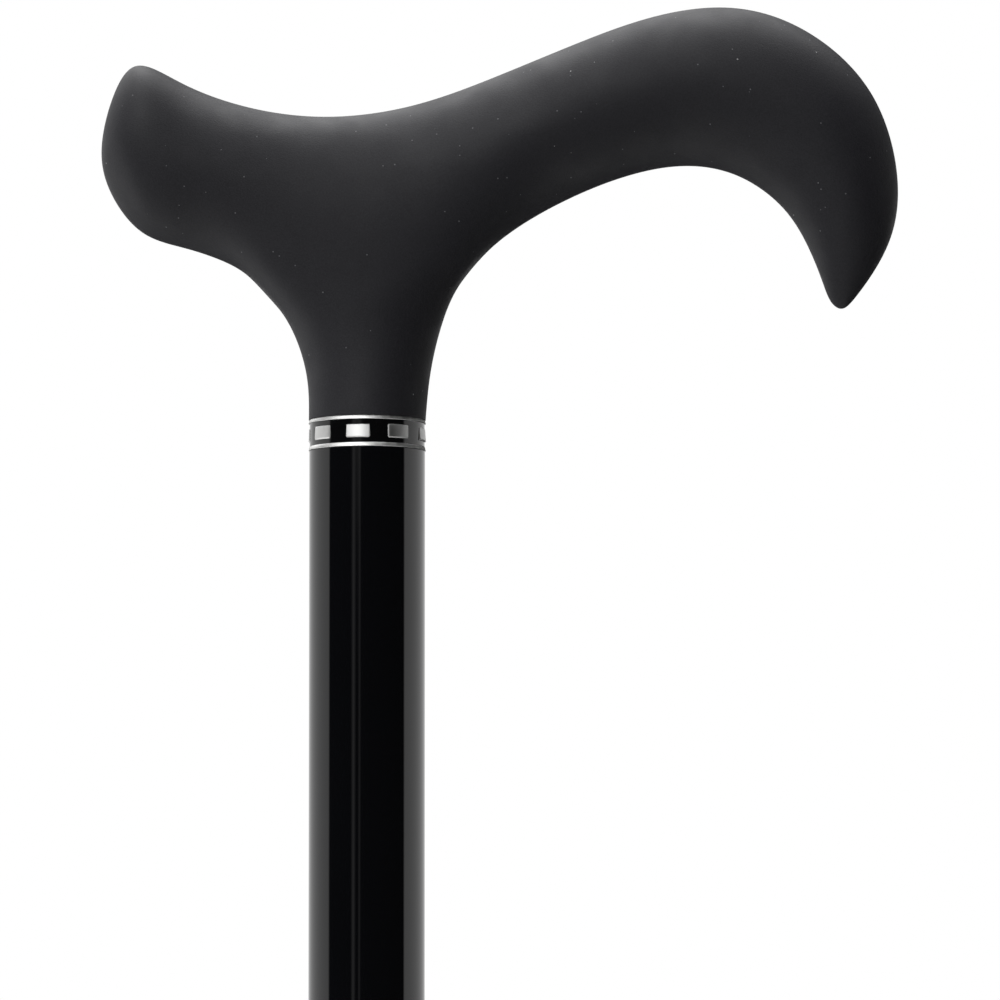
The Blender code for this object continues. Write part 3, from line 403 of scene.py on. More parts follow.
def turned(name, profile, place=(0, 0, 0), turn=(0, 0, 0), steps=FINE):
    """Turn a profile of (radius, height) points about Z. It runs down its outer side."""
    points = [(radius, 0.0, height) for radius, height in profile]
    edges = [(index, index + 1) for index in range(len(points) - 1)]
    if profile[0][0] > 0:
        edges.append((len(points) - 1, 0))
    mesh = bpy.data.meshes.new(name)
    mesh.from_pydata(points, edges, [])
    piece = link(bpy.data.objects.new(name, mesh), place, turn)
    screw = piece.modifiers.new("turn", "SCREW")
    screw.steps = steps
    screw.render_steps = steps
    screw.use_merge_vertices = True
    screw.merge_threshold = 0.005 * MM
    settle(piece)
    return smooth(piece)


def rod(name, radius, low, high, place=(0, 0, 0), turn=(0, 0, 0), steps=SMALL):
    """A solid cylinder on its own Z axis. With six steps it is a hexagon."""
    form = bmesh.new()
    bmesh.ops.create_cone(form, cap_ends=True, segments=steps, radius1=radius, radius2=radius,
                          depth=high - low)
    bmesh.ops.translate(form, verts=form.verts, vec=(0, 0, (low + high) / 2))
    return settle(formed(name, form, place, turn))


def block(name, low, high, place=(0, 0, 0), turn=(0, 0, 0)):
    """A box between two corners."""
    low = Vector(low)
    high = Vector(high)
    form = bmesh.new()
    bmesh.ops.create_cube(form, size=1.0)
    bmesh.ops.scale(form, verts=form.verts, vec=high - low)
    bmesh.ops.translate(form, verts=form.verts, vec=(low + high) / 2)
    return settle(formed(name, form, place, turn))


def rounded_path(corners, bend, step=math.radians(4)):
    """Points along straight runs whose corners are rounded to one bend radius."""
    points = [corners[0]]
    for before, corner, after in zip(corners, corners[1:], corners[2:]):
        back = (before - corner).normalized()
        ahead = (after - corner).normalized()
        half_angle = back.angle(ahead) / 2
        middle = corner + (back + ahead).normalized() * bend / math.sin(half_angle)
        reach = bend / math.tan(half_angle)
        first = corner + back * reach - middle
        last = corner + ahead * reach - middle
        sweep = first.angle(last)
        count = max(2, round(sweep / step))
        for index in range(count + 1):
            turn = Matrix.Rotation(sweep * index / count, 3, first.cross(last))
            points.append(middle + turn @ first)
    points.append(corners[-1])
    return points


def tube_along(name, points, radius, sides=12):
    """A round tube along a path, its ends closed."""
    curve = bpy.data.curves.new(name, "CURVE")
    curve.dimensions = "3D"
    curve.bevel_depth = radius
    curve.bevel_resolution = sides
    curve.use_fill_caps = True
    spline = curve.splines.new("POLY")
    spline.points.add(len(points) - 1)
    for spline_point, point in zip(spline.points, points):
        spline_point.co = (*point, 1.0)
    piece = settle(link(bpy.data.objects.new(name, curve)))
    form = bmesh.new()
    form.from_mesh(piece.data)
    bmesh.ops.remove_doubles(form, verts=form.verts, dist=0.01 * MM)
    form.to_mesh(piece.data)
    form.free()
    return smooth(piece)


# --- Handle -----------------------------------------------------------------------------------
# Sections from tail to nose, in mm from the shaft axis and the seat: the top point's x and z,
# the bottom point's x and z, and half the width. The neck grows out of the four from NECK_REAR
# to NECK_FRONT, where the second point is the lower side of the grip.
GRIP_SECTIONS = [
    (-48.8, 60.7, -49.1, 44.1, 7.5),
    (-44.2, 67.7, -43.2, 36.2, 12.6),
    (-35.5, 64.5, -34.6, 32.9, 13.3),
    (-23.5, 60.0, -25.5, 29.5, 13.4),
    (-8.5, 58.0, -9.0, 21.9, 13.4),
    (8.0, 60.0, 8.5, 23.9, 13.5),
    (24.0, 65.5, 28.0, 36.5, 13.6),
    (40.0, 72.1, 43.0, 44.5, 14.0),
    (55.0, 77.3, 56.5, 48.4, 14.2),
    (70.2, 78.8, 66.5, 48.1, 14.2),
    (84.5, 73.8, 74.0, 44.9, 13.6),
    (96.1, 62.1, 80.0, 39.5, 12.2),
    (100.8, 46.4, 84.0, 32.7, 9.6),
    (99.0, 33.6, 86.4, 26.7, 6.0),
    (93.4, 24.3, 88.0, 22.8, 2.4),
]
TAIL_END = (-50.6, 52.1)
NOSE_END = (90.2, 21.3)
NECK_REAR = 3
NECK_FRONT = 6
DIAGONAL = 0.707                # a section's diagonal points, as a share of its half sizes
NECK_SIDE = 0.92                # the lower ones' share of the width over the neck, where the grip is full
# Neck rings below the grip: front x and z, rear x and z, half the width and how far the sides
# hang below the line from front to rear.
NECK_RINGS = [
    (18.5, 27.5, -20.0, 25.1, 12.3, 5.0),
    (14.2, 18.4, -14.9, 18.4, 11.7, 2.5),
    (12.0, 8.9, -11.6, 8.9, 11.3, 0.0),
    (11.1, 0.0, -11.1, 0.0, 11.1, 0.0),
]
GRIP_LEVELS = 4


def pull_through(cage, rounds=40):
    """Move a cage until its smooth surface passes through where its points started.

    In each round a point moves by how far its limit point on the Catmull-Clark surface is off.
    """
    crease = cage.edges.layers.float.get("crease_edge")
    targets = [vert.co.copy() for vert in cage.verts]
    for _ in range(rounds):
        moves = []
        for vert, target in zip(cage.verts, targets):
            sharp = [edge.other_vert(vert).co for edge in vert.link_edges if edge[crease] > 0]
            if sharp:
                limit = (4 * vert.co + sharp[0] + sharp[1]) / 6
            else:
                count = len(vert.link_edges)
                near = sum((edge.other_vert(vert).co for edge in vert.link_edges), Vector())
                loops = [loop.link_loop_next.link_loop_next for loop in vert.link_loops]
                far = sum((loop.vert.co for loop in loops), Vector())
                limit = (count * count * vert.co + 4 * near + far) / (count * (count + 5))
            moves.append(target - limit)
        for vert, move in zip(cage.verts, moves):
            vert.co += move


def section_rows(point):
    """Half rings of cage points, one for each section of the grip."""
    rows = []
    for index, (top_x, top_z, bottom_x, bottom_z, width) in enumerate(GRIP_SECTIONS):
        middle = Vector((top_x + bottom_x, 0, top_z + bottom_z)) / 2
        up = Vector((top_x - bottom_x, 0, top_z - bottom_z)) / 2
        side = Vector((0, width, 0))
        crosses_neck = NECK_REAR < index < NECK_FRONT
        low_side = NECK_SIDE if crosses_neck else DIAGONAL
        row = [
            point(*(middle + up)),
            point(*(middle + up * DIAGONAL + side * DIAGONAL)),
            point(*(middle + side)),
            point(*(middle - up * DIAGONAL + side * low_side)),
        ]
        if not crosses_neck:
            row.append(point(*(middle - up)))
        rows.append(row)
    return rows


def ramp(value, start, end):
    """0 up to where it starts, and 1 from where it ends."""
    return min(max((value - start) / (end - start), 0), 1)


def blend_neck(piece):
    """Relax the two faces of the grip where the neck runs into it. The ramps are in mm."""
    neck_middle = 3
    group = piece.vertex_groups.new(name="neck")
    for vert in piece.data.vertices:
        height = (vert.co.z - SEAT) / MM
        off_plane = abs(vert.co.y - SHAFT.y) / MM
        off_neck = abs(vert.co.x / MM - neck_middle)
        weight = ramp(height, 9, 18) * ramp(height, 54, 42) * ramp(off_plane, 3, 7) * ramp(off_neck, 40, 28)
        if weight > 0:
            group.add([vert.index], weight, "REPLACE")
    relax = piece.modifiers.new("relax", "SMOOTH")
    relax.factor = 0.5
    relax.iterations = 120
    relax.vertex_group = group.name
    settle(piece)


def make_grip():
    """The derby handle's soft surface: one smooth form from nose to neck."""
    cage = bmesh.new()

    def point(x, y, z):
        return cage.verts.new(Vector((x, y, z)) * MM)

    rows = section_rows(point)
    for row, next_row in zip(rows, rows[1:]):
        for index in range(min(len(row), len(next_row)) - 1):
            cage.faces.new((row[index], row[index + 1], next_row[index + 1], next_row[index]))
    for row, (end_x, end_z) in ((rows[0], TAIL_END), (rows[-1], NOSE_END)):
        end = point(end_x, 0, end_z)
        cage.faces.new((end, row[0], row[1], row[2]))
        cage.faces.new((end, row[2], row[3], row[4]))

    neck_rows = rows[NECK_REAR:NECK_FRONT + 1]
    ring = [neck_rows[-1][4]] + [row[3] for row in reversed(neck_rows)] + [neck_rows[0][4]]
    for front_x, front_z, rear_x, rear_z, width, sag in NECK_RINGS:
        next_ring = []
        for index in range(len(ring)):
            angle = math.pi * index / (len(ring) - 1)
            share = (1 + math.cos(angle)) / 2
            next_ring.append(point(
                (front_x + rear_x) / 2 + (front_x - rear_x) / 2 * math.cos(angle),
                width * math.sin(angle),
                front_z * share + rear_z * (1 - share) - sag * math.sin(angle),
            ))
        for index in range(len(ring) - 1):
            cage.faces.new((ring[index], ring[index + 1], next_ring[index + 1], next_ring[index]))
        ring = next_ring

    bmesh.ops.mirror(cage, geom=cage.verts[:] + cage.edges[:] + cage.faces[:], axis="Y",
                     merge_dist=0.01 * MM)
    crease = cage.edges.layers.float.new("crease_edge")
    rim = [edge for edge in cage.edges if edge.is_boundary]
    for edge in rim:
        edge[crease] = 1.0
    bmesh.ops.holes_fill(cage, edges=rim, sides=0)
    bmesh.ops.recalc_face_normals(cage, faces=cage.faces)
    pull_through(cage)
    piece = formed("handle_grip", cage, on_shaft(SEAT))
    subdivision = piece.modifiers.new("smooth", "SUBSURF")
    subdivision.levels = GRIP_LEVELS
    subdivision.render_levels = GRIP_LEVELS
    settle(piece)
    blend_neck(piece)
    smooth(piece, 50)
    show(piece, "upper_shaft", "soft_touch_black", "grip_skin")


# --- Collar -----------------------------------------------------------------------------------
JOINT_LINE = 0.04 * MM          # what shows between the collar and its neighbours
INLAY_COUNT = 8
INLAY_PITCH = 42.4                # in degrees
FIRST_INLAY = -90 - 135.8         # the seam between the last inlay and the first is at the back
INLAY_WIDTH = 4.65 * MM
INLAY_HEIGHT = 2.6 * MM
INLAY_THICKNESS = 0.4 * MM
INLAY_TILTS = (0, 2, 3, 4.5, 0, 5, 1, 2)      # in degrees, as they are set by hand


def make_collar():
    """Two bright rims, the black enamel band between them and its eight bright inlays."""
    low, high = top("upper_tube") + JOINT_LINE, SEAT - JOINT_LINE
    middle = (low + high) / 2
    proud = 0.12 * MM               # how far the collar stands out of the tube
    outer = TUBE_RADIUS + proud
    bore = TUBE_BORE - 0.1 * MM
    rim = 0.72 * MM                 # height of a rim
    slope = 0.15 * MM               # a rim's face leans back a little
    edge = 0.07 * MM
    channel = outer - 0.75 * MM     # floor of the channel between the rims
    profile = []
    for rim_top in (high, low + rim):
        profile += [
            (channel, rim_top),
            (outer - slope - edge, rim_top),
            (outer - slope, rim_top - edge),
            (outer, rim_top - rim + edge),
            (outer - edge, rim_top - rim),
            (channel, rim_top - rim),
        ]
    profile += [(bore, low), (bore, high)]
    ring = turned("collar_rims", profile, on_shaft(), steps=2 * FINE)
    show(ring, "upper_shaft", "bright_metal", "collar_ring")

    band = outer - 0.2 * MM
    band_low = low + rim - JOINT_LINE
    band_high = high - rim + JOINT_LINE
    profile = [
        (band - edge, band_high),
        (band, band_high - edge),
        (band, band_low + edge),
        (band - edge, band_low),
        (channel + edge, band_low),
        (channel + edge, band_high),
    ]
    fill = turned("collar_band", profile, on_shaft(), steps=2 * FINE)
    show(fill, "upper_shaft", "black_enamel", "collar_enamel")
    for index in range(INLAY_COUNT):
        make_inlay(index, band, middle)


def make_inlay(index, band, middle):
    """One bright inlay, curved with the band and set in its face."""
    columns = 8
    half_angle = INLAY_WIDTH / 2 / band
    form = bmesh.new()
    grid = []
    for column in range(columns + 1):
        angle = half_angle * (2 * column / columns - 1)
        pair = []
        for side in (-1, 1):
            height = side * INLAY_HEIGHT / 2
            pair.append(form.verts.new((band * math.cos(angle), band * math.sin(angle), height)))
        grid.append(pair)
    for left, right in zip(grid, grid[1:]):
        form.faces.new((left[0], right[0], right[1], left[1]))
    tilt = Matrix.Rotation(math.radians(-INLAY_TILTS[index]), 3, "Y")
    bmesh.ops.rotate(form, verts=form.verts, cent=(band, 0, 0), matrix=tilt)
    turn = (0, 0, math.radians(FIRST_INLAY + index * INLAY_PITCH))
    inlay = formed("collar_inlay_%d" % (index + 1), form, on_shaft(middle), turn)
    thicken(inlay, INLAY_THICKNESS, -0.1)
    soften(inlay, 0.2 * MM, 1, 40)
    show(inlay, "upper_shaft", "bright_metal", "collar_ring")
    inlay.data.materials[0] = SATIN_SILVER


# --- Tubes and lock ---------------------------------------------------------------------------
def make_tubes():
    """Outer tube with its row of holes, and the inner tube."""
    low, high = bottom("upper_tube"), top("upper_tube")
    edge = 0.1 * MM
    inside = 5 * MM                 # a hole's cutter starts inside the tube, so it cuts one wall only
    outside = 15 * MM
    screw_hole = 2.1 * MM
    profile = arc((TUBE_RADIUS - edge, high - edge), edge, 90, 0, 3)
    profile += arc((TUBE_RADIUS - edge, low + edge), edge, 0, -90, 3)
    profile += [(TUBE_BORE, low), (TUBE_BORE, high)]
    outer = turned("outer_tube", profile, on_shaft(), steps=2 * FINE)
    holes = []
    for step in range(-HOLES_EACH_WAY, HOLES_EACH_WAY + 1):
        place = on_shaft(BUTTON_Z + step * HOLE_PITCH)
        name = "hole_%d" % (step + HOLES_EACH_WAY + 1)
        holes.append(rod(name, HOLE_RADIUS, inside, outside, place, ALONG_MINUS_Y))
    screw_z = centre("handle_screw").z
    holes.append(rod("screw_hole", screw_hole, inside, outside, on_shaft(screw_z), ALONG_PLUS_Y))
    shape(outer, holes)
    smooth(outer)
    show(outer, "upper_shaft", "gloss_black_tube", "upper_tube")

    low, high = bottom("lower_tube"), top("lower_tube")
    profile = [
        (INNER_RADIUS, high), (INNER_RADIUS, low + edge), (INNER_RADIUS - edge, low),
        (INNER_BORE, low), (INNER_BORE, high),
    ]
    inner = turned("inner_tube", profile, on_shaft(), steps=2 * FINE)
    shape(inner, [rod("button_hole", HOLE_RADIUS, inside, outside, on_shaft(BUTTON_Z), ALONG_MINUS_Y)])
    smooth(inner)
    show(inner, "lower_shaft", "satin_black_tube", "lower_tube")


def make_lock():
    """Collet bush and the ribbed ring nut."""
    low, high = bottom("collet_bush"), top("collet_bush")
    radius = half_width("collet_bush")
    edge = 0.6 * MM
    taper = 1.1 * MM                # the fingers narrow by this towards their ends
    finger_top = low + 7 * MM
    ledge = low + 14.7 * MM         # the outer tube stands on it
    finger_bore = INNER_RADIUS + 0.35 * MM
    sleeve_bore = TUBE_RADIUS + 0.3 * MM
    profile = [
        (radius - edge, high), (radius, high - edge), (radius, finger_top), (radius - taper, low),
        (finger_bore, low), (finger_bore, ledge), (sleeve_bore, ledge), (sleeve_bore, high),
    ]
    bush = turned("lock_bush", profile, on_shaft())
    slit_half = 0.6 * MM
    slit_reach = 20 * MM
    slit_top = 11 * MM
    slits = []
    for quarter in range(2):
        turn = (0, 0, math.radians(45 + 90 * quarter))
        slit_low = (-slit_reach, -slit_half, -1 * MM)
        slit_high = (slit_reach, slit_half, slit_top)
        slits.append(block("slit_%d" % quarter, slit_low, slit_high, on_shaft(low), turn))
    show(smooth(shape(bush, slits)), "upper_shaft", "nylon_black", "collet_bush")

    low, high = bottom("lock_ring"), top("lock_ring")
    radius = half_width("lock_ring")
    edge = 1.0 * MM
    lip = low + 1.7 * MM
    lip_bore = INNER_RADIUS + 0.7 * MM
    cone_bore = 12.2 * MM
    cone_top = low + 9 * MM
    thread_bore = 13.3 * MM
    profile = arc((radius - edge, high - edge), edge, 90, 0, 4)
    profile += arc((radius - edge, low + edge), edge, 0, -90, 4)
    profile += [
        (lip_bore, low), (lip_bore, lip), (cone_bore, lip), (thread_bore, cone_top), (thread_bore, high),
    ]
    nut = turned("ring_nut", profile, on_shaft(), steps=2 * FINE)
    groove_count = 18
    groove_radius = 1.35 * MM
    groove_offset = radius + 0.55 * MM
    end_margin = 4 * MM
    grooves = []
    for index in range(groove_count):
        angle = math.tau * (index + 0.5) / groove_count
        place = on_shaft(low) + Vector((math.cos(angle), math.sin(angle), 0)) * groove_offset
        grooves.append(rod("groove_%d" % index, groove_radius, end_margin, high - low - end_margin, place,
                           steps=24))
    shape(nut, grooves)
    soften(nut, 0.25 * MM, 2, 35)
    show(nut, "lock_ring", "nylon_black", "lock_ring")


def make_button():
    """Domed snap button."""
    reach = SHAFT.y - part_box("height_button")[0].y
    radius = 3.7 * MM
    edge = 1.1 * MM
    crown = 0.25 * MM               # the dome rises by this from its rounded edge
    flange_radius = 5.0 * MM
    flange_low = 4.7 * MM
    flange_high = 5.9 * MM
    profile = [(0, reach)]
    profile += arc((radius - edge, reach - edge - crown), edge, 80, 0, 6)
    profile += [
        (radius, flange_high), (flange_radius, flange_high), (flange_radius, flange_low), (0, flange_low),
    ]
    button = turned("snap_button", profile, on_shaft(BUTTON_Z), ALONG_MINUS_Y, SMALL)
    show(button, "height_button", "zinc_steel", "height_button")


def make_spring():
    """V-shaped leaf spring behind the button."""
    low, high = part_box("button_spring")
    leaf = 0.5 * MM                 # its thickness
    half_leaf_width = 4.0 * MM
    fold_radius = 1.8 * MM
    near = low.y - SHAFT.y + leaf / 2
    far = high.y - SHAFT.y - leaf / 2
    corners = [
        Vector((0, near, 5 * MM)),
        Vector((0, near, -6 * MM)),
        Vector((0, 0.5 * MM, -38 * MM)),
        Vector((0, far, -8 * MM)),
    ]
    form = bmesh.new()
    rows = []
    for place in rounded_path(corners, fold_radius, math.radians(6)):
        rows.append([form.verts.new(place + Vector((side * half_leaf_width, 0, 0))) for side in (-1, 1)])
    for row, next_row in zip(rows, rows[1:]):
        form.faces.new((row[0], row[1], next_row[1], next_row[0]))
    spring = smooth(thicken(formed("leaf_spring", form, on_shaft(BUTTON_Z)), leaf, 0))
    show(spring, "lower_shaft", "spring_steel", "button_spring")
    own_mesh(spring)


# --- Screws -----------------------------------------------------------------------------------
def make_handle_screw():
    """Cross-head screw at the back of the tube."""
    screw_z = centre("handle_screw").z
    head_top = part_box("handle_screw")[1].y - SHAFT.y
    seat = TUBE_RADIUS + 0.15 * MM
    head_radius = 3.2 * MM
    edge = 1.2 * MM
    shank_radius = 1.8 * MM
    shank_end = 5 * MM
    profile = [(0, head_top)]
    profile += arc((head_radius - edge, head_top - edge), edge, 90, 0, 5)
    profile += [(head_radius, seat), (shank_radius, seat), (shank_radius, shank_end), (0, shank_end)]
    screw = turned("tube_screw", profile, on_shaft(screw_z), ALONG_PLUS_Y, SMALL)
    arm_length = 1.5 * MM
    arm_half = 0.35 * MM
    recess = 1.1 * MM
    arms = []
    for index, (across, along) in enumerate(((arm_length, arm_half), (arm_half, arm_length))):
        low = (-across, -along, head_top - recess)
        high = (across, along, head_top + 1 * MM)
        arms.append(block("arm_%d" % index, low, high, on_shaft(screw_z), ALONG_PLUS_Y))
    show(smooth(shape(screw, arms)), "upper_shaft", "zinc_steel", "handle_screw")


# Socket-head screws: their sizes as keyword arguments. The key's radius is across its corners.
M6_SCREW = {"head_radius": 5.0 * MM, "head_height": 4.0 * MM, "shank_radius": 3.0 * MM, "key": 2.9 * MM}
M5_SCREW = {"head_radius": 4.2 * MM, "head_height": 3.0 * MM, "shank_radius": 2.5 * MM, "key": 2.3 * MM}


def make_hub_screw(node, name, body, head_radius, head_height, shank_radius, key):
    """Socket-head screw driven up into the hub."""
    low, high = bottom(node), top(node)
    place = centre(node)
    place.z = 0
    edge = 0.5 * MM
    head_top = low + head_height
    key_depth = head_height * 0.55
    profile = [
        (0, high), (shank_radius - edge, high), (shank_radius, high - edge), (shank_radius, head_top),
        (head_radius, head_top),
    ]
    profile += arc((head_radius - edge, low + edge), edge, 0, -90, 4)
    profile.append((0, low))
    screw = turned(name, profile, place, steps=SMALL)
    socket = rod("socket", key, low - 1 * MM, low + key_depth, place, steps=6)
    show(smooth(shape(screw, [socket])), body, "zinc_steel", node)


# --- Base -------------------------------------------------------------------------------------
def cast_hub(low, high, arch_z, arch_lines):
    """The hub as cast: drum, plate, clamp ears and cross bosses, run together with small fillets."""
    drum = 16 * MM
    plate_half_x = 19 * MM
    plate_half_y = 31 * MM
    plate_top = low + 9.5 * MM
    ear_tip = CLAMP.x - 9.5 * MM
    ear_root = -10 * MM
    ear_half = 9 * MM
    ear_low = low + 38 * MM
    ear_high = high - 3.5 * MM
    boss = LEG_RADIUS + 3.5 * MM
    boss_half = 26 * MM             # half the length of the boss round an arch
    hub = rod("cast_hub", drum, low + 1 * MM, high, on_shaft(), steps=FINE)
    plate = block("plate", (-plate_half_x, -plate_half_y, low), (plate_half_x, plate_half_y, plate_top),
                  on_shaft())
    ears = block("ears", (ear_tip, -ear_half, ear_low), (ear_root, ear_half, ear_high), on_shaft())
    bosses = [rod("boss_%d" % index, boss, -boss_half, boss_half, (0, line, arch_z), ALONG_X, FINE)
              for index, line in enumerate(arch_lines)]
    shape(hub, [plate, ears] + bosses, "UNION")
    cast = hub.modifiers.new("cast", "REMESH")
    cast.mode = "VOXEL"
    cast.voxel_size = 0.9 * MM
    blend = hub.modifiers.new("fillets", "SMOOTH")
    blend.factor = 0.5
    blend.iterations = 9
    return settle(hub)


def make_hub():
    """Cast hub with its machined bores, clamp slot and nut pocket."""
    low, high = bottom("base_hub"), top("base_hub")
    arch_z = top("inner_arch") - LEG_RADIUS
    arch_lines = [centre("inner_arch_screw").y, centre("outer_arch_screw").y]
    hub = cast_hub(low, high, arch_z, arch_lines)
    leg_bore = LEG_RADIUS + 0.3 * MM
    leg_bore_half = 40 * MM
    socket_radius = 11.8 * MM
    socket_floor = low + 8.5 * MM
    pivot_radius = 3.4 * MM
    counterbore_radius = 8 * MM
    counterbore_top = low + 3.5 * MM
    slot_tip = CLAMP.x - 15 * MM
    slot_root = -5 * MM
    slot_half = 1.5 * MM
    slot_low = low + 35 * MM
    slot_high = high + PAST
    stud_radius = 3.3 * MM
    nut_radius = 5.9 * MM           # across its corners
    pocket_floor = 5 * MM
    clamp_reach = 20 * MM
    arch_screw_radius = 2.8 * MM
    arch_screw_top = arch_z + 9.3 * MM
    clamp_place = (CLAMP.x, SHAFT.y, CLAMP.z)
    tools = [rod("bore_%d" % index, leg_bore, -leg_bore_half, leg_bore_half, (0, line, arch_z), ALONG_X, FINE)
             for index, line in enumerate(arch_lines)]
    tools += [
        rod("socket", socket_radius, socket_floor, high + PAST, on_shaft(), steps=FINE),
        rod("pivot", pivot_radius, low - PAST, high, on_shaft()),
        rod("counterbore", counterbore_radius, low - PAST, counterbore_top, on_shaft()),
        block("slot", (slot_tip, -slot_half, slot_low), (slot_root, slot_half, slot_high), on_shaft()),
        rod("clamp_hole", stud_radius, -clamp_reach, clamp_reach, clamp_place, ALONG_MINUS_Y),
        rod("nut_pocket", nut_radius, pocket_floor, clamp_reach, clamp_place, ALONG_MINUS_Y, 6),
    ]
    tools += [rod("screw_%d" % index, arch_screw_radius, low - PAST, arch_screw_top, (0, line, 0))
              for index, line in enumerate(arch_lines)]
    shape(hub, tools)
    smooth(hub, 40)
    show(hub, "base", "powder_coat_black_hub", "base_hub")


def make_arch(node, name):
    """One bent leg tube."""
    low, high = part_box(node)
    arch_z = high.z - LEG_RADIUS
    side_name = node.split("_")[0]
    foot = centre(side_name + "_front_tip")
    line = centre(node + "_screw").y
    corners = [
        Vector((side * x, y, z))
        for side, x, y, z in (
            (-1, foot.x, foot.y, low.z),
            (-1, foot.x, foot.y, arch_z - ARCH_DROP),
            (-1, ARCH_CORNER_X, line, arch_z),
            (1, ARCH_CORNER_X, line, arch_z),
            (1, foot.x, foot.y, arch_z - ARCH_DROP),
            (1, foot.x, foot.y, low.z),
        )
    ]
    arch = tube_along(name, rounded_path(corners, ARCH_BEND), LEG_RADIUS)
    hole_radius = 2.8 * MM
    hole_reach = LEG_RADIUS + 4 * MM
    hole = rod("screw_hole", hole_radius, arch_z - hole_reach, arch_z + hole_reach, (0, line, 0))
    show(smooth(shape(arch, [hole])), "base", "powder_coat_black", node)


def make_tip(corner):
    """Rubber tip: ribbed neck, flared foot and a ringed tread."""
    node = corner + "_tip"
    foot = centre(node)
    foot.z = 0
    high = top(node)
    radius = half_width(node)
    bore = LEG_RADIUS + 0.2 * MM
    lip = 0.5 * MM                  # the mouth of the bore opens by this
    floor = 8 * MM
    neck = 11.4 * MM
    bead = 0.9 * MM
    profile = [(0, floor), (bore, floor), (bore, high - lip), (bore + lip, high)]
    profile += arc((neck, high - bead), bead, 90, -60, 6)

    first_rib = high - 5.2 * MM
    rib_pitch = 3.4 * MM
    rib_radius = 0.65 * MM
    for index in range(3):
        profile += arc((neck - 0.1 * MM, first_rib - index * rib_pitch), rib_radius, 70, -70, 5)

    shoulder = 1.4 * MM             # radii of the foot's two rounded edges
    heel = 1.0 * MM
    profile += [
        (neck + 0.2 * MM, 18 * MM), (neck + 0.7 * MM, 13.5 * MM), (neck + 2.0 * MM, 9.5 * MM),
        (radius - 0.9 * MM, 6.6 * MM),
    ]
    profile += arc((radius - shoulder, 5.0 * MM), shoulder, 40, 0, 3)
    profile += arc((radius - heel, heel), heel, 0, -90, 4)

    groove_width = 1.8 * MM         # of the tread's ring grooves, at the floor
    groove_depth = 1.4 * MM
    groove_slope = 0.4 * MM
    for ring in (12.6 * MM, 9.4 * MM, 6.2 * MM):
        profile += [
            (ring, 0), (ring - groove_slope, groove_depth),
            (ring - groove_width + groove_slope, groove_depth), (ring - groove_width, 0),
        ]
    profile.append((0, 0))
    tip = turned(corner + "_ferrule", profile, foot)
    show(tip, "base", "tip_rubber", node)


def make_clamp():
    """Five-lobed hand knob."""
    place = (CLAMP.x, SHAFT.y, CLAMP.z)
    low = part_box("clamp_knob")[0].y - SHAFT.y
    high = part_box("clamp_knob")[1].y - SHAFT.y
    radius = 12 * MM
    rim = 2.4 * MM                  # radii of its outer and inner rounded edges
    heel = 1.6 * MM
    neck = 7 * MM
    neck_top = low + 3.4 * MM
    stud = 3.3 * MM
    stud_top = high - 4.7 * MM
    dish = 6.5 * MM
    profile = [(0, high - 0.9 * MM), (dish - 1.2 * MM, high - 0.8 * MM), (dish, high)]
    profile += arc((radius - rim, high - rim), rim, 80, 0, 6)
    profile += arc((radius - heel, low + 5.4 * MM), heel, 0, -80, 4)
    profile += [(neck, neck_top), (neck, low), (stud, low), (stud, stud_top), (0, stud_top)]
    knob = turned("hand_knob", profile, place, ALONG_PLUS_Y)
    lobes = 5
    scallop_radius = 5 * MM
    scallop_offset = radius + 3.2 * MM
    scallops = []
    for index in range(lobes):
        angle = math.tau * index / lobes
        middle = Vector(place) + Vector((math.cos(angle), 0, -math.sin(angle))) * scallop_offset
        scallops.append(rod("scallop_%d" % index, scallop_radius, low + 3 * MM, high + 3 * MM, middle,
                            ALONG_PLUS_Y))
    shape(knob, scallops)
    soften(knob, 0.5 * MM, 3, 35)
    show(knob, "clamp_knob", "nylon_black", "clamp_knob")


def make_swivel_bush():
    """Split bush with a collar that shows above the hub."""
    low, high = bottom("swivel_bush"), top("swivel_bush")
    collar = 15 * MM
    sleeve = 11.5 * MM
    bore = INNER_RADIUS + 0.3 * MM
    pivot_hole = 3.4 * MM
    edge = 0.6 * MM
    flange_low = high - 1.7 * MM
    floor = low + 1.5 * MM
    profile = arc((collar - edge, high - edge), edge, 90, 0, 4)
    profile += [
        (collar, flange_low), (sleeve, flange_low), (sleeve, low), (pivot_hole, low),
        (pivot_hole, floor), (bore, floor), (bore, high),
    ]
    bush = turned("split_bush", profile, on_shaft())
    slit_tip = -20 * MM
    slit_root = -8 * MM
    slit_half = 1 * MM
    slit_low = bottom("base_hub") + 36 * MM
    slit = block("slit", (slit_tip, -slit_half, slit_low), (slit_root, slit_half, high + PAST), on_shaft())
    show(smooth(shape(bush, [slit])), "base", "nylon_black", "swivel_bush")


make_grip()
make_collar()
make_tubes()
make_lock()
make_button()
make_spring()
make_handle_screw()
make_hub_screw("pivot_screw", "pivot_bolt", "lower_shaft", **M6_SCREW)
make_hub_screw("inner_arch_screw", "inner_arch_bolt", "base", **M5_SCREW)
make_hub_screw("outer_arch_screw", "outer_arch_bolt", "base", **M5_SCREW)
make_hub()
make_arch("inner_arch", "inner_leg_arch")
make_arch("outer_arch", "outer_leg_arch")
for foot_corner in FEET:
    make_tip(foot_corner)
make_clamp()
make_swivel_bush()


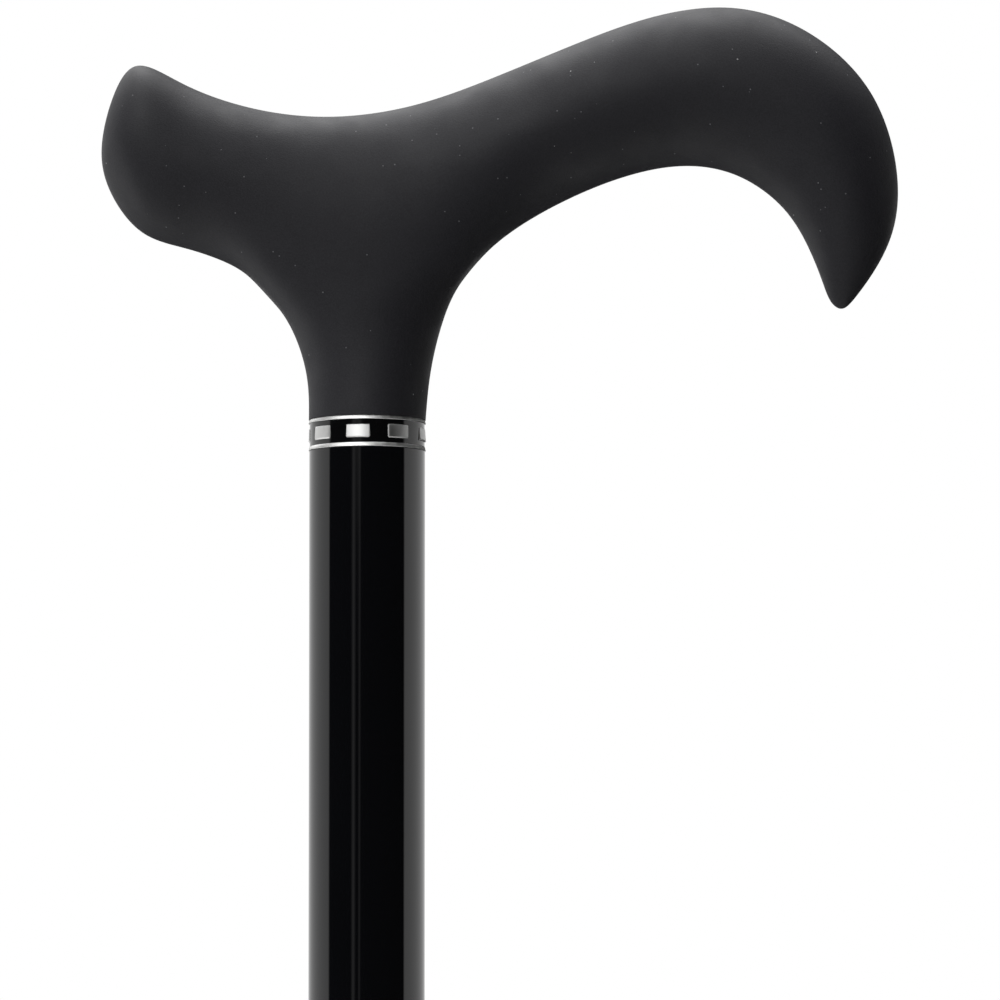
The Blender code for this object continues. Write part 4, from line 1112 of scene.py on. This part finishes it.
# --- Studio -----------------------------------------------------------------------------------
def make_floor():
    """Plain pale floor."""
    floor_radius = 600 * MM
    form = bmesh.new()
    bmesh.ops.create_circle(form, cap_ends=True, segments=128, radius=floor_radius)
    floor = formed("floor", form)
    floor.data.materials.append(finish("floor_pale", (0.52, 0.52, 0.515), 0.7)[0])


# Soft lights of the studio, as seen from the cane: azimuth (0 is towards the camera, -90 to its
# left), elevation, half the angle that is fully lit, half the angle that is lit at all, strength.
LIGHTS = [
    (-150, 44, 12, 34, 2.1),
    (165, 74, 15, 34, 4.1),
    (-50, 48, 10, 37, 1.65),
    (-18, 30, 8, 25, 2.5),
    (-20, -34, 6, 26, 0.8),
    (-110, -34, 10, 36, 1.3),
]
# Narrow upright lights that the gloss tube shows as streaks: azimuth, half width, strength.
STRIPS = [(-26, 5, 0.35), (-14, 3, 0.22)]
STRIP_FADE = (0.2, 0.4)         # the heights between which they fade out, above and below level
# The white backdrop is a band round the back of the cane. Its sizes are in units of the direction's
# own X, Y and Z, each from -1 to 1.
BACKDROP_EDGE = (-0.20, -0.14)  # Y from where it begins to where it is full
BACKDROP_FADE = (0.11, 0.15)    # how far above and below its middle line it fades out
BACKDROP_LEVEL = 0.025          # height of that line behind the cane; it is 0 at the far left
BACKDROP_TAPER = 0.05           # how much the band narrows towards the right
DARK = 0.02                     # what comes from everywhere else


def make_world():
    """White behind the cane, dark in front of it at its own level, and soft lights above and below."""
    world = bpy.data.worlds.new("studio")
    world.use_nodes = True
    bpy.context.scene.world = world
    tree = world.node_tree
    direction = add(tree, "TexCoord").outputs["Generated"]
    parts = add(tree, "SeparateXYZ", {"Vector": direction})
    right = parts.outputs["X"]
    depth = parts.outputs["Y"]
    up = parts.outputs["Z"]

    def math_node(operation, *values):
        return add(tree, "Math", dict(enumerate(values)), operation=operation).outputs[0]

    def times(first, second):
        return math_node("MULTIPLY", first, second)

    def plus(first, second):
        return math_node("ADD", first, second)

    behind = span(tree, depth, *BACKDROP_EDGE, 0.0, 1.0)
    lift = plus(times(right, -BACKDROP_LEVEL), -BACKDROP_LEVEL)
    off_line = math_node("ABSOLUTE", plus(lift, up))
    beyond = plus(off_line, times(right, BACKDROP_TAPER))
    total = plus(times(behind, span(tree, beyond, *BACKDROP_FADE, 1.0, 0.0)), DARK)
    for azimuth, elevation, lit, reach, strength in LIGHTS:
        turn = math.radians(azimuth)
        rise = math.radians(elevation)
        towards = (math.sin(turn) * math.cos(rise), -math.cos(turn) * math.cos(rise), math.sin(rise))
        near = add(tree, "VectorMath", {0: direction, 1: towards}, operation="DOT_PRODUCT").outputs["Value"]
        edge = math.cos(math.radians(reach))
        core = math.cos(math.radians(lit))
        total = plus(total, span(tree, near, edge, core, 0.0, strength))
    around = math_node("ARCTAN2", right, times(depth, -1.0))
    above = math_node("ABSOLUTE", up)
    for azimuth, half, strength in STRIPS:
        away = math_node("ABSOLUTE", math_node("SUBTRACT", around, math.radians(azimuth)))
        strip = span(tree, away, 0.0, math.radians(half), strength, 0.0)
        total = plus(total, times(strip, span(tree, above, *STRIP_FADE, 1.0, 0.0)))
    camera_sees = add(tree, "LightPath").outputs["Is Camera Ray"]
    shown = add(tree, "Mix", {"Factor": camera_sees, 2: total, 3: 1.0}, data_type="FLOAT")
    background = tree.nodes["Background"]
    tree.links.new(shown.outputs[0], background.inputs["Strength"])
    background.inputs["Color"].default_value = (1.0, 1.0, 1.0, 1.0)


def make_camera():
    """Long lens, a little below the collar, on the handle and the top of the tube."""
    distance = 2.0
    elevation = math.radians(-5.4)
    width = 189.7 * MM              # what the frame spans at the cane
    aim_right = 25.2 * MM
    aim_down = 15.2 * MM
    target = on_shaft(SEAT) + Vector((aim_right, 0, -aim_down))
    back = Vector((0, -math.cos(elevation), math.sin(elevation)))
    data = bpy.data.cameras.new("camera")
    data.sensor_width = 36.0
    data.lens = data.sensor_width / 2 / (width / 2 / distance)
    camera = link(bpy.data.objects.new("camera", data), target + back * distance)
    camera.rotation_mode = "QUATERNION"
    camera.rotation_quaternion = (-back).to_track_quat("-Z", "Y")
    bpy.context.scene.camera = camera


make_floor()
make_world()
make_camera()
bpy.context.scene.view_settings.view_transform = "Standard"
